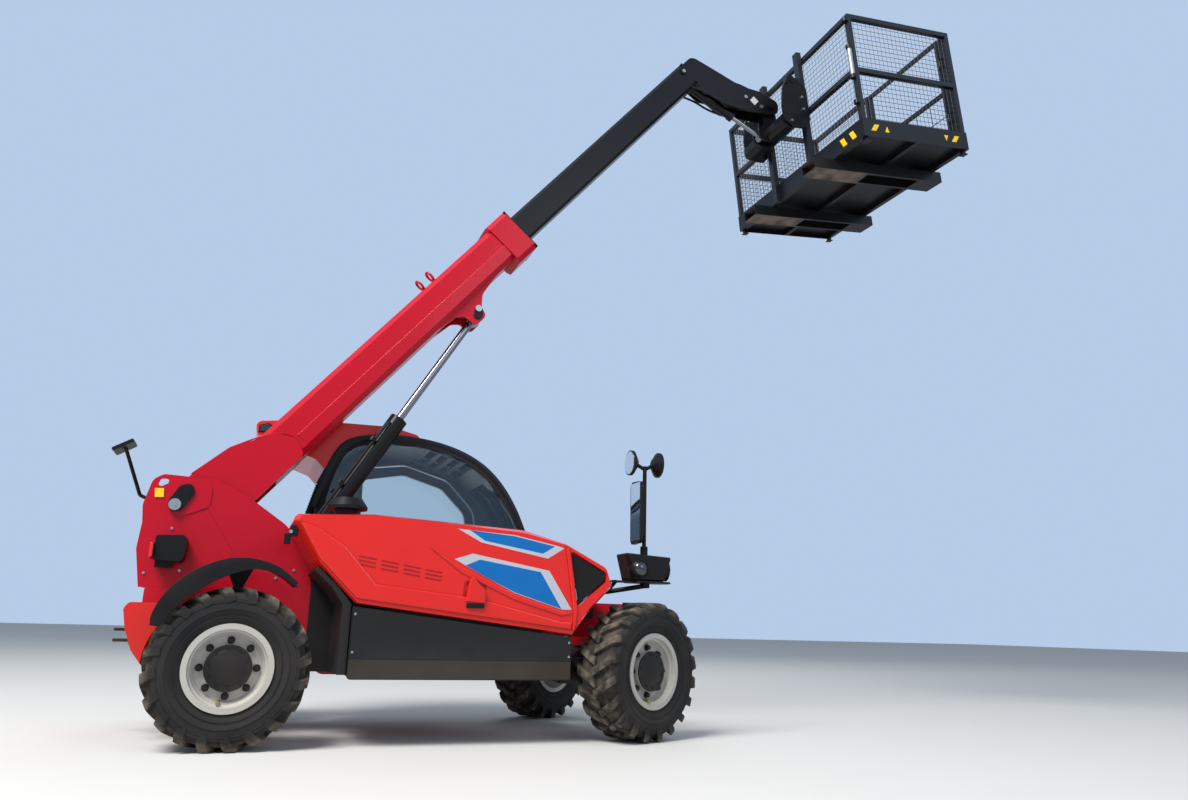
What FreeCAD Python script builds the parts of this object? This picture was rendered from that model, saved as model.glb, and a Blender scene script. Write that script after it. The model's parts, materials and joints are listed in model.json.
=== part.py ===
"""Compact telehandler with its boom raised and extended and a mesh man basket on the carriage.

Millimetres, +X forward, +Y to the cab side, +Z up, ground at Z = 0.  The origin is the middle of the
bottom of the whole machine's box, as the machine stands in the photograph.
"""
import FreeCAD
import Part
import math
import os

from FreeCAD import Placement, Rotation, Vector

doc = FreeCAD.newDocument("Telehandler")
sheet = doc.addObject("Spreadsheet::Sheet", "Sizes")

# Driving dimensions.  Columns: name, value (mm, degrees or a count), what it is.
SIZES = [
    ("rear_axle_x", -2206, "rear axle centre from the origin"),
    ("wheelbase", 2300, "rear axle to front axle"),
    ("wheel_plane_y", 752.5, "middle of a wheel from the machine's middle plane"),
    ("king_pin_y", 592, "king pin from the machine's middle plane"),
    ("axle_height", 410, "wheel centre above the ground"),
    ("tyre_radius", 410, "over the lugs"),
    ("carcass_radius", 384, "tread between the lugs"),
    ("tyre_width", 298, "section width"),
    ("rim_radius", 205, "bead seat"),
    ("rim_width", 262, "over the flanges"),
    ("rim_wall", 9, "rolled barrel"),
    ("lug_count", 20, "lugs on one side of a tyre"),
    ("lug_width", 46, "along the tread"),
    ("lug_slant", 0.55, "forward run of a lug for each unit of its run across"),
    ("hub_radius", 118, "planetary hub"),
    ("hub_reach", 106, "outer face of the hub from the wheel's middle plane, outwards"),
    ("hub_face", -10, "inner face of the hub from the wheel's middle plane, outwards"),
    ("king_pin_height", 210, "king pin housing"),
    ("king_pin_radius", 22, "king pin"),
    ("fork_plate", 38, "upper and lower arm of an axle's fork"),
    ("arch_room", 16, "room between a steered tyre and the panels round it"),
    ("seat_clearance", 0.3, "between a piece and its seat"),
    ("steer_right_rest", 25, "right front wheel turned left"),
    ("steer_left_rest", 34, "left front wheel turned left"),
    ("boom_plane_y", -50, "middle plane of the boom"),
    ("boom_origin_x", -270, "origin of the boom frame ahead of the rear axle"),
    ("boom_origin_z", 1410, "origin of the boom frame above the ground"),
    ("pivot_back", 63, "boom pivot behind the boom frame's origin"),
    ("pivot_rise", 43, "boom pivot above the boom frame's origin"),
    ("pivot_pin_radius", 32, "boom pivot pin"),
    ("boom_angle", 50.3, "boom above level as it stands"),
    ("rail_top", 820, "top of the frame's side plates above the ground"),
    ("tower_plate", 20, "tower and chassis side plates"),
    ("tower_half_gap", 180, "boom plane to the inner face of a tower plate"),
    ("outer_width", 280, "outer boom"),
    ("outer_top", 5, "top face of the outer boom above the pivot line"),
    ("outer_depth", 270, "outer boom"),
    ("outer_start", 330, "outer boom tube from the pivot"),
    ("outer_end", 2790, "outer boom end from the pivot"),
    ("outer_wall", 10, "outer boom plate"),
    ("outer_bevel", 34, "bent corners of the outer boom"),
    ("collar_length", 185, "collar at the mouth of the outer boom"),
    ("inner_width", 216, "inner boom"),
    ("inner_depth", 206, "inner boom"),
    ("inner_top", -28, "top face of the inner boom from the pivot line"),
    ("inner_start", 2060, "rear end of the inner boom as it stands"),
    ("inner_end", 5150, "front end of the inner boom as it stands"),
    ("inner_wall", 9, "inner boom plate"),
    ("carriage_along", 5445, "carriage pivot along the boom"),
    ("carriage_drop", -797, "carriage pivot from the pivot line"),
    ("carriage_pin_radius", 25, "carriage pivot pin"),
    ("head_inner", 61, "boom plane to the inner face of a head plate"),
    ("head_outer", 75, "boom plane to the outer face of a head plate"),
    ("carriage_lug_inner", 36, "boom plane to the inner face of a carriage lug"),
    ("carriage_lug_outer", 56, "boom plane to the outer face of a carriage lug"),
    ("coupler_spread", 270, "basket uprights and hooks from the boom plane"),
    ("coupler_hook_x", 70, "hook pins of the coupler ahead of the carriage pivot"),
    ("coupler_hook_z", 100, "hook pins of the coupler above the carriage pivot"),
    ("coupler_hook_radius", 22, "hook pins of the coupler"),
    ("coupler_lock_x", 193, "locking pin of the coupler ahead of the carriage pivot"),
    ("coupler_lock_z", -246, "locking pin of the coupler above the carriage pivot"),
    ("basket_tilt", 6.3, "basket nose up as it stands"),
    ("basket_width", 1900, "over the side rails"),
    ("basket_depth", 1040, "rear rail to front rail"),
    ("basket_height", 1070, "floor frame underside to top rail"),
    ("basket_back", 218, "rear face of the basket ahead of the carriage pivot"),
    ("basket_drop", -718, "underside of the basket frame from the carriage pivot"),
    ("basket_plane_y", -30, "middle plane of the basket"),
    ("basket_tube", 38, "square tube of the rails"),
    ("toe_board", 150, "height of the toe boards"),
    ("pocket_width", 170, "fork pocket inside"),
    ("pocket_height", 76, "fork pocket inside"),
    ("pocket_wall", 8, "fork pocket plate"),
    ("pocket_spread", 460, "fork pocket middle from the basket's middle plane"),
    ("mesh_wire", 5, "mesh panel thickness"),
    ("lift_foot_x", 147, "lift cylinder foot ahead of the rear axle"),
    ("lift_foot_z", 751, "lift cylinder foot above the ground"),
    ("lift_eye_x", 1342, "lift rod eye ahead of the rear axle"),
    ("lift_eye_z", 2773, "lift rod eye above the ground"),
    ("lift_barrel_radius", 52, "lift cylinder"),
    ("lift_rod_radius", 27, "lift cylinder rod"),
    ("lift_barrel_length", 1441, "foot pin to the end of the barrel"),
    ("tilt_foot_along", 4955, "tilt cylinder foot along the boom"),
    ("tilt_foot_drop", -90, "tilt cylinder foot from the pivot line"),
    ("tilt_eye_along", 5186, "tilt rod eye along the boom"),
    ("tilt_eye_drop", -936, "tilt rod eye from the pivot line"),
    ("tilt_barrel_radius", 36, "tilt cylinder"),
    ("tilt_rod_radius", 19, "tilt cylinder rod"),
    ("tilt_barrel_length", 575, "foot pin to the end of the tilt cylinder"),
    ("tilt_rod_start", 305, "inner end of the tilt rod from the foot pin as it stands"),
    ("lift_rod_start", 760, "inner end of the lift rod from the foot pin as it stands"),
    ("cab_inner_y", 115, "right wall of the cab"),
    ("cab_outer_y", 900, "left wall of the cab"),
    ("cab_frame", 45, "cab pillars and posts"),
    ("cab_roof_z", 1960, "top of the cab roof"),
    ("glass", 6, "cab panes"),
    ("hood_side_y", -885, "outer face of the hood"),
    ("hood_inner_y", -255, "inner edge of the hood"),
    ("hood_hinge_y", -263, "hinge line of the hood"),
    ("hood_hinge_z", 1262, "hinge line of the hood above the ground"),
    ("hood_skin", 22, "hood moulding"),
    ("skirt_plate", 14, "black side panel"),
    ("battery_length", 1060, "battery pack, along the machine"),
    ("battery_width", 590, "battery pack, across the machine"),
    ("battery_height", 360, "battery pack"),
    ("guard_skin", 12, "mudguards"),
    ("lamp_plate_z", 950, "top of the front lamp's plate"),
    ("hood_bevel", 50, "sloped edge round the hood's side"),
]


def fill_sheet():
    """Each size goes into its own cell, with its name as the alias."""
    for row, (name, value, note) in enumerate(SIZES, start=1):
        sheet.set("A%d" % row, note)
        sheet.set("B%d" % row, str(value))
        sheet.setAlias("B%d" % row, name)
    doc.recompute()


fill_sheet()
size = {name: float(sheet.get(name)) for name, value, note in SIZES}

X_REAR = size["rear_axle_x"]
X_FRONT = X_REAR + size["wheelbase"]
BOOM_Y = size["boom_plane_y"]
FIT = size["seat_clearance"]
BOOM_TURN = Rotation(Vector(0, 1, 0), -size["boom_angle"])
BOOM_PLACE = Placement(Vector(X_REAR + size["boom_origin_x"], BOOM_Y, size["boom_origin_z"]), BOOM_TURN)
PIVOT = BOOM_PLACE.multVec(Vector(-size["pivot_back"], 0, size["pivot_rise"]))
CARRIAGE_PIN = BOOM_PLACE.multVec(Vector(size["carriage_along"], 0, size["carriage_drop"]))
CARRIAGE_TURN = Rotation(Vector(0, 1, 0), -size["basket_tilt"])
CARRIAGE_PLACE = Placement(CARRIAGE_PIN, CARRIAGE_TURN)


# Small helpers

def ahead(x):
    """Row X of a point given as its distance ahead of the rear axle."""
    return X_REAR + x


def box(x0, x1, y0, y1, z0, z1):
    return Part.makeBox(x1 - x0, y1 - y0, z1 - z0, Vector(x0, y0, z0))


def rod(start, end, radius):
    """Round bar from one point to another."""
    start, end = Vector(*start), Vector(*end)
    return Part.makeCylinder(radius, (end - start).Length, start, end - start)


def corner_edges(points):
    """Edges of a closed outline of (a, b, radius) corners, with an arc at each corner that has one."""
    count = len(points)
    cuts = []
    for index, (a, b, radius) in enumerate(points):
        here = Vector(a, b, 0)
        if not radius:
            cuts.append((here, None, here))
            continue
        last = Vector(*points[index - 1][:2], 0)
        ahead_point = Vector(*points[(index + 1) % count][:2], 0)
        into = (last - here).normalize()
        out = (ahead_point - here).normalize()
        half = into.getAngle(out) / 2.0
        # An arc takes at most half of the shorter side next to it.
        shorter = min((last - here).Length, (ahead_point - here).Length)
        reach = min(radius / math.tan(half), 0.49 * shorter)
        radius = reach * math.tan(half)
        middle = (into + out).normalize() * (radius / math.sin(half) - radius)
        cuts.append((here + into * reach, here + middle, here + out * reach))
    edges = []
    for index in range(count):
        start, middle, end = cuts[index]
        if middle is not None:
            edges.append(Part.Arc(start, middle, end))
        follow = cuts[(index + 1) % count][0]
        if (follow - end).Length > 1e-6:
            edges.append(Part.LineSegment(end, follow))
    return edges


def side_slab(points, y0, y1):
    """Slab with an outline of (x, z, corner radius) in the side view, from y0 to y1."""
    wire = Part.Wire([edge.toShape() for edge in corner_edges(points)])
    face = Part.Face(wire)
    face.rotate(Vector(0, 0, 0), Vector(1, 0, 0), 90)
    face.translate(Vector(0, y0, 0))
    return face.extrude(Vector(0, y1 - y0, 0))


def front_slab(points, x0, x1):
    """Slab with an outline of (y, z, corner radius) in the front view, from x0 to x1."""
    wire = Part.Wire([edge.toShape() for edge in corner_edges(points)])
    face = Part.Face(wire)
    face.rotate(Vector(0, 0, 0), Vector(1, 1, 1), 120)
    face.translate(Vector(x0, 0, 0))
    return face.extrude(Vector(x1 - x0, 0, 0))


def mirrored(shape, plane_y=0):
    """The same shape on the other side of a plane at plane_y."""
    return shape.mirror(Vector(0, plane_y, 0), Vector(0, 1, 0))


def fused(shapes):
    """One solid, or separate ones where they don't touch."""
    whole = shapes[0].multiFuse(shapes[1:]) if len(shapes) > 1 else shapes[0]
    return whole.removeSplitter()


def feature(label, shape, place=None):
    """A finished sub-part whose shape is made by Part's own functions."""
    item = doc.addObject("Part::Feature", label)
    item.Label = label
    if place is not None:
        shape = shape.copy()
        shape.Placement = place.multiply(shape.Placement)
    item.Shape = shape
    finished.append(item)
    return item


def sketch(body, role, name, edges, offset=0):
    """A sketch on one of the body's own origin planes, moved along the plane's normal."""
    plane = [item for item in body.Origin.OriginFeatures if item.Role == role][0]
    item = body.newObject("Sketcher::SketchObject", name)
    item.AttachmentSupport = [(plane, "")]
    item.MapMode = "FlatFace"
    item.AttachmentOffset = Placement(Vector(0, 0, offset), Rotation())
    item.addGeometry(edges, False)
    return item


def padded_body(label, points, middle_y, width, place=None):
    """PartDesign body: a side outline of (x, z, radius), padded both ways from middle_y."""
    body = doc.addObject("PartDesign::Body", label)
    body.Label = label
    outline = sketch(body, "XZ_Plane", label + "_outline", corner_edges(points), -middle_y)
    pad = body.newObject("PartDesign::Pad", label + "_pad")
    pad.Profile = outline
    pad.Midplane = True
    pad.setExpression("Length", width)
    if place is not None:
        body.Placement = place
    finished.append(body)
    return body


def turned_body(label, points, place=None):
    """PartDesign body: a closed outline of (x, y, radius) turned about its own Y axis."""
    body = doc.addObject("PartDesign::Body", label)
    body.Label = label
    outline = sketch(body, "XY_Plane", label + "_outline", corner_edges(points))
    turn = body.newObject("PartDesign::Revolution", label + "_turn")
    turn.Profile = outline
    axis = [item for item in body.Origin.OriginFeatures if item.Role == "Y_Axis"][0]
    turn.ReferenceAxis = (axis, [""])
    turn.Angle = 360
    if place is not None:
        body.Placement = place
    finished.append(body)
    return body


finished = []


# Wheels, knuckles and axles

# Columns: name, axle X, side (+1 left), steering angle as it stands.
CORNERS = [
    ("rear_left", X_REAR, 1, 0.0),
    ("rear_right", X_REAR, -1, 0.0),
    ("front_left", X_FRONT, 1, size["steer_left_rest"]),
    ("front_right", X_FRONT, -1, size["steer_right_rest"]),
]


def wheel_place(axle_x, side, steer):
    """Wheel centre, its +Y axis pointing out of the machine, turned about the king pin."""
    king = Vector(axle_x, side * size["king_pin_y"], size["axle_height"])
    out = size["wheel_plane_y"] - size["king_pin_y"]
    turn = Rotation(Vector(0, 0, 1), steer)
    if side < 0:
        turn = turn.multiply(Rotation(Vector(0, 0, 1), 180))
    return Placement(king + turn.multVec(Vector(0, out, 0)), turn)


def tyre_shape(hand):
    """Carcass with staggered slanted lugs; hand sets which way the lugs lean."""
    half = size["tyre_width"] / 2.0
    bead = size["rim_radius"] + FIT
    crown = size["carcass_radius"]
    bead_half = size["rim_width"] / 2.0 - 16
    section = [(bead, -bead_half, 0), (bead, bead_half, 0), (bead + 28, bead_half + 6, 0),
               (bead + 90, half, 0), (crown - 32, half - 3, 0), (crown, half - 40, 0),
               (crown, 40 - half, 0), (crown - 32, 3 - half, 0), (bead + 90, -half, 0),
               (bead + 28, -bead_half - 6, 0)]
    wire = Part.makePolygon([Vector(r, y, 0) for r, y, c in section + section[:1]])
    carcass = Part.Face(wire).revolve(Vector(0, 0, 0), Vector(0, 1, 0), 360)
    top = size["tyre_radius"]
    sunk = crown - 12
    slant = size["lug_slant"] * hand
    # Across the tyre from near its middle to the shoulder: (across, radius).
    over = top + 12
    profile = [(-8, sunk), (-8, over), (half - 34, over), (half + 1, top - 38),
               (half + 3, top - 84), (half - 24, top - 84), (half - 60, sunk)]
    pitch = 360.0 / size["lug_count"]
    tread = Part.makeCylinder(top, 2 * size["tyre_width"], Vector(0, -size["tyre_width"], 0),
                              Vector(0, 1, 0))
    lugs = []
    for side in (1, -1):
        skew = [Vector(slant * a - size["lug_width"] / 2.0, side * a, r) for a, r in profile]
        lug = Part.Face(Part.makePolygon(skew + skew[:1])).extrude(Vector(size["lug_width"], 0, 0))
        lug = lug.common(tread)
        for index in range(int(size["lug_count"])):
            angle = (index + (0.5 if side < 0 else 0.0)) * pitch
            turned = lug.copy()
            turned.rotate(Vector(0, 0, 0), Vector(0, 1, 0), angle)
            lugs.append(turned)
    return carcass.multiFuse(lugs)


def rim_outline():
    """Half section of a rim: barrel with flanges, dished disc and planetary hub, as (radius, across)."""
    seat = size["rim_radius"]
    wall = size["rim_wall"]
    half = size["rim_width"] / 2.0
    flange = seat + 20
    disc_y = 52
    hub = size["hub_radius"]
    reach = size["hub_reach"]
    return [(seat - wall, -half, 0), (flange, -half, 0), (flange, -half + 9, 0), (seat, -half + 15.5, 0),
            (seat, half - 15.5, 0), (flange, half - 9, 0), (flange, half, 0), (seat - wall, half, 0),
            (seat - wall - 4, half - 24, 0), (seat - wall - 14, half - 30, 0),
            (seat - wall - 18, disc_y + 30, 8),
            (seat - wall - 34, disc_y + 9, 8), (hub, disc_y + 9, 0), (hub, reach - 14, 0),
            (hub - 12, reach, 0),
            (0, reach, 0), (0, size["hub_face"], 0), (hub - 14, size["hub_face"], 0),
            (hub - 14, disc_y - 3, 0),
            (seat - wall - 40, disc_y - 3, 0), (seat - wall - 22, disc_y + 14, 0),
            (seat - wall - 10, disc_y - 20, 0)]


def knuckle_shape(side):
    """King pin housing and the stub that carries the hub, in the wheel's own place."""
    inboard = size["king_pin_y"] - size["wheel_plane_y"]
    post_half = size["king_pin_height"] / 2.0
    post = rod((0, inboard, -post_half), (0, inboard, post_half), 46)
    pin_half = post_half + size["fork_plate"] + 8
    pin = rod((0, inboard, -pin_half), (0, inboard, pin_half), size["king_pin_radius"])
    stub = rod((0, inboard, 0), (0, -30, 0), 62)
    flange = rod((0, -32, 0), (0, size["hub_face"] - FIT, 0), 84)
    # The steering arm points to the rear on both sides.
    arm = [(0, -20, 0), (0, 20, 0), (-150 * side, 14, 0), (-186 * side, 0, 0), (-150 * side, -14, 0)]
    return fused([post, pin, stub, flange, side_slab(arm, inboard - 16, inboard + 16)])


def mudguard_shape(side):
    """Rear mudguard, in the wheel's own place, with the stay that stands on the king pin."""
    skin = size["guard_skin"]
    # Lip line of the guard: (ahead of the hub, above it), from the rear tip to the front tip.
    line = [(-372, 238), (-300, 372), (-52, 536), (98, 528), (290, 425)]
    inner = [Vector(x * side, 0, z) for x, z in line]
    outer = [p + Vector(p.x, 0, p.z).normalize() * skin for p in inner]
    edges = [Part.Arc(inner[0], inner[1], inner[2]).toShape(),
             Part.Arc(inner[2], inner[3], inner[4]).toShape(),
             Part.makeLine(inner[4], outer[4]), Part.Arc(outer[4], outer[3], outer[2]).toShape(),
             Part.Arc(outer[2], outer[1], outer[0]).toShape(), Part.makeLine(outer[0], inner[0])]
    inboard = size["king_pin_y"] - size["wheel_plane_y"]
    face = Part.Face(Part.Wire(edges))
    face.translate(Vector(0, inboard - 6, 0))
    band = face.extrude(Vector(0, size["tyre_width"] / 2.0 + 4 - inboard + 6, 0))
    # Rolled lip along the outer edge of the guard.
    lip_face = Part.Face(Part.Wire(edges))
    lip = lip_face.extrude(Vector(0, 10, 0))
    lip.scale(1.0 + 9.0 / 536)
    lip.translate(Vector(0, size["tyre_width"] / 2.0 - 6, 0))
    foot = size["king_pin_height"] / 2.0 + size["fork_plate"] + 8 + FIT
    stay = side_slab([(-18, foot, 0), (18, foot, 0), (26, 420, 40), (70, 520, 20), (70, 535, 0),
                      (-70, 535, 0),
                      (-70, 520, 20), (-26, 420, 40)], inboard - 6, inboard + 6)
    seat_plate = side_slab([(-70, 528, 0), (70, 528, 0), (70, 541, 0), (-70, 541, 0)], inboard - 6,
                           inboard + 60)
    return fused([band, lip, stay, seat_plate.common(band.fuse(stay)).fuse(stay)])


def axle_shape(axle_x):
    """Beam, differential housing and the forks that hold the king pins."""
    z = size["axle_height"]
    king = size["king_pin_y"]
    inward = 150 if axle_x < 0 else -150
    pieces = [rod((axle_x, -(king - 130), z), (axle_x, king - 130, z), 62),
              rod((axle_x, -60, z), (axle_x, 120, z), 128),
              rod((axle_x, 30, z), (axle_x + inward, 30, z), 70)]
    # Steering cylinder along the beam, on its rear side.
    pieces += [rod((axle_x - 96, -190, z + 20), (axle_x - 96, 190, z + 20), 34),
               rod((axle_x - 96, -270, z + 20), (axle_x - 96, 270, z + 20), 15),
               box(axle_x - 96, axle_x - 40, -170, -130, z, z + 44),
               box(axle_x - 96, axle_x - 40, 130, 170, z, z + 44)]
    fork = size["king_pin_height"] / 2.0 + FIT
    tall = fork + size["fork_plate"]
    for side in (1, -1):
        for z0, z1 in ((-tall, -fork), (fork, tall)):
            arm = box(axle_x - 50, axle_x + 50, king - 165, king + 46, z + z0, z + z1)
            pieces.append(arm if side > 0 else mirrored(arm))
        web = box(axle_x - 50, axle_x + 50, king - 200, king - 130, z - 150, z + 150)
        pieces.append(web if side > 0 else mirrored(web))
    pin_rooms = [rod((axle_x, side * king, z - 170), (axle_x, side * king, z + 170),
                     size["king_pin_radius"] + FIT)
                 for side in (1, -1)]
    return fused(pieces).cut(fused(pin_rooms))


def steering_room(shape, axle_x, side, first, last):
    """What a shape in the wheel's own place takes up from one steering angle to another, in even steps."""
    steps = 16
    rooms = []
    for index in range(steps + 1):
        copy = shape.copy()
        copy.Placement = wheel_place(axle_x, side, first + (last - first) * index / float(steps))
        rooms.append(copy)
    return rooms


def cleared(shape, rooms):
    """The shape without what lies in any of the rooms."""
    for room in rooms:
        if shape.BoundBox.intersect(room.BoundBox):
            shape = shape.cut(room)
    return shape


def tyre_room(axle_x, side, first, last):
    """Room that a tyre needs between two steering angles."""
    spare = size["arch_room"]
    half = size["tyre_width"] / 2.0 + spare + 4
    disc = Part.makeCylinder(size["tyre_radius"] + spare, 2 * half, Vector(0, -half, 0), Vector(0, 1, 0))
    return steering_room(disc, axle_x, side, first, last)


def guard_room(side):
    """Room that a rear mudguard needs as it turns with its wheel."""
    spare = size["arch_room"]
    half = size["tyre_width"] / 2.0 + spare + 4
    line = [(-404 * side, 205, 0), (-388 * side, 310, 0), (-326 * side, 420, 0), (-180 * side, 535, 0),
            (0, 572, 0),
            (180 * side, 548, 0), (318 * side, 452, 0), (300 * side, 400, 0), (0, 300, 0)]
    return steering_room(side_slab(line, -half - 16, half), X_REAR, side, -34.5, 34.5)


def build_running_gear():
    tyres = {1: tyre_shape(1), -1: tyre_shape(-1)}
    for name, axle_x, side, steer in CORNERS:
        place = wheel_place(axle_x, side, steer)
        if axle_x == X_REAR:
            feature("mudguard_" + name, mudguard_shape(side), place)
        feature("tyre_" + name, tyres[side], place)
        turned_body("rim_" + name, rim_outline(), place)
        feature("knuckle_" + name, knuckle_shape(side), place)
    feature("rear_axle", axle_shape(X_REAR))
    feature("front_axle", axle_shape(X_FRONT))


# Chassis, tower and counterweight

def build_chassis():
    inner = size["tower_half_gap"]
    plate = size["tower_plate"]
    right0, right1 = BOOM_Y - inner - plate, BOOM_Y - inner
    left0, left1 = BOOM_Y + inner, BOOM_Y + inner + plate
    # Side plates of the frame: (ahead of the rear axle, above the ground, corner radius).
    top = size["rail_top"]
    rail = [(ahead(-500), 600, 20), (ahead(-500), top, 20), (ahead(2500), top, 60),
            (ahead(2560), 700, 30), (ahead(2560), 600, 30), (ahead(1900), 600, 60),
            (ahead(1850), 350, 60), (ahead(480), 350, 60), (ahead(420), 600, 60)]
    rails = [side_slab(rail, right0, right1), side_slab(rail, left0, left1)]
    # Cross plates: from, to (ahead of the rear axle), bottom and top.
    cross = [(-480, -460, 610, 810), (520, 540, 360, 640), (1200, 1220, 360, 810),
             (1790, 1810, 380, 810), (2500, 2520, 620, 810)]
    plates = [box(ahead(a), ahead(b), right1, left0, c, d) for a, b, c, d in cross]
    belly = box(ahead(540), ahead(1800), right1, left0, 352, 362)
    # Pads that carry the two axles.
    pads = [box(ahead(x - 70), ahead(x + 70), right1, left0, 538, 620) for x in (0, 2300)]
    # Pin for the foot of the lift cylinder, across the frame.
    foot_x, foot_z = ahead(size["lift_foot_x"]), size["lift_foot_z"]
    foot_pin = rod((foot_x, right1 - 1, foot_z), (foot_x, left0 + 1, foot_z), 30)
    feature("chassis_frame", fused(rails + plates + [belly, foot_pin] + pads))

    # Tower side outline, same columns as the rail's.
    base = size["rail_top"] + FIT
    tower = [(ahead(-534), base, 0), (ahead(-572), 1036, 60), (ahead(-561), 1186, 60),
             (ahead(-572), 1290, 60),
             (ahead(-536), 1440, 60), (ahead(-480), 1474, 40), (ahead(-186), 1463, 90),
             (ahead(5), 1368, 200),
             (ahead(227), 1220, 200), (ahead(306), 1132, 90), (ahead(389), 1004, 60),
             (ahead(412), base, 0)]
    plates = [side_slab(tower, right0, right1), side_slab(tower, left0, left1)]
    # Raised doubler round the pivot, and the rib that runs down from it to the wheel.
    doubler = [(ahead(-420), 1440, 20), (ahead(-210), 1440, 40), (ahead(-212), 1300, 30),
               (ahead(-400), 1212, 30)]
    rib = [(ahead(-222), 1296, 0), (ahead(-206), 1304, 0), (ahead(40), 990, 0), (ahead(112), base, 0),
           (ahead(94), base, 0)]
    plates += [side_slab(doubler, right0 - 6, right0 + 1), side_slab(doubler, left1 - 1, left1 + 6),
               side_slab(rib, right0 - 5, right0 + 1), side_slab(rib, left1 - 1, left1 + 5)]
    hole = side_slab([(ahead(-511), 1403, 14), (ahead(-495), 1448, 14), (ahead(-448), 1448, 14),
                      (ahead(-458), 1403, 14)],
                     right0 - 10, left1 + 10)
    pin_radius = size["pivot_pin_radius"]
    bore = rod((PIVOT.x, right0 - 10, PIVOT.z), (PIVOT.x, left1 + 10, PIVOT.z), pin_radius + FIT)
    back = side_slab([(ahead(-524), base, 0), (ahead(-560), 1036, 0), (ahead(-550), 1180, 0),
                      (ahead(-530), 1180, 0),
                      (ahead(-540), 1036, 0), (ahead(-504), base, 0)], right1, left0)
    feature("boom_tower", fused(plates + [back]).cut(fused([hole, bore])))
    pin = rod((PIVOT.x, right0 - 22, PIVOT.z), (PIVOT.x, left1 + 22, PIVOT.z), pin_radius)
    # Retainer: a link from the pin's end down to its own bolt.
    link = side_slab([(PIVOT.x - 44, PIVOT.z + 20, 40), (PIVOT.x + 20, PIVOT.z + 44, 40),
                      (PIVOT.x + 44, PIVOT.z - 16, 40),
                      (PIVOT.x - 22, PIVOT.z - 128, 40), (PIVOT.x - 88, PIVOT.z - 128, 40),
                      (PIVOT.x - 98, PIVOT.z - 76, 40)],
                     right0 - 20, right0 - 6 - FIT)
    bolt = rod((PIVOT.x - 58, right0 - 30, PIVOT.z - 92), (PIVOT.x - 58, right0 - 19, PIVOT.z - 92), 24)
    feature("boom_pivot_pin", fused([pin, link, bolt]))

    # Counterweight: a bumper block behind the rear axle, with a wing beside each side plate.
    weight = [(ahead(-352), 400, 20), (ahead(-436), 398, 40), (ahead(-500), 480, 60),
              (ahead(-545), 595, 90),
              (ahead(-566), 700, 30), (ahead(-540), 733, 30), (ahead(-352), 733, 20)]
    block = side_slab(weight, -490, 490)
    frame_room = box(ahead(-500) - FIT, ahead(-300), right0 - FIT, left1 + FIT, 300, 900)
    rooms = tyre_room(X_REAR, 1, -34.5, 34.5) + tyre_room(X_REAR, -1, -34.5,
                                                          34.5) + guard_room(1) + guard_room(-1)
    # Towing jaw on the block's rear face: two plates with one bore for the pin.
    jaw = fused([box(ahead(-640), ahead(-520), -90, -10, 514, 530),
                 box(ahead(-640), ahead(-520), -90, -10, 574, 590),
                 box(ahead(-556), ahead(-520), -90, -10, 500, 604)])
    jaw_bore = rod((ahead(-610), BOOM_Y, 490), (ahead(-610), BOOM_Y, 610), 13)
    feature("counterweight", cleared(block.cut(frame_room), rooms).removeSplitter())
    feature("tow_jaw", jaw.cut(side_slab(weight, -100, 0)).cut(jaw_bore))


# Boom, inner boom and gooseneck head, in the boom's own frame: X along it, Z square to it

def tube(x0, x1, half, z0, z1, wall, bevel):
    """Box section tube with bevelled corners, open at both ends."""
    outer = [(-half + bevel, z0, 0), (half - bevel, z0, 0), (half, z0 + bevel, 0),
             (half, z1 - bevel, 0), (half - bevel, z1, 0), (-half + bevel, z1, 0),
             (-half, z1 - bevel, 0), (-half, z0 + bevel, 0)]
    hollow = [(y * (half - wall) / half, z0 + wall + (z - z0) * (z1 - z0 - 2 * wall) / (z1 - z0), 0)
              for y, z, r in outer]
    return front_slab(outer, x0, x1).cut(front_slab(hollow, x0 - 1, x1 + 1))


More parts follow.
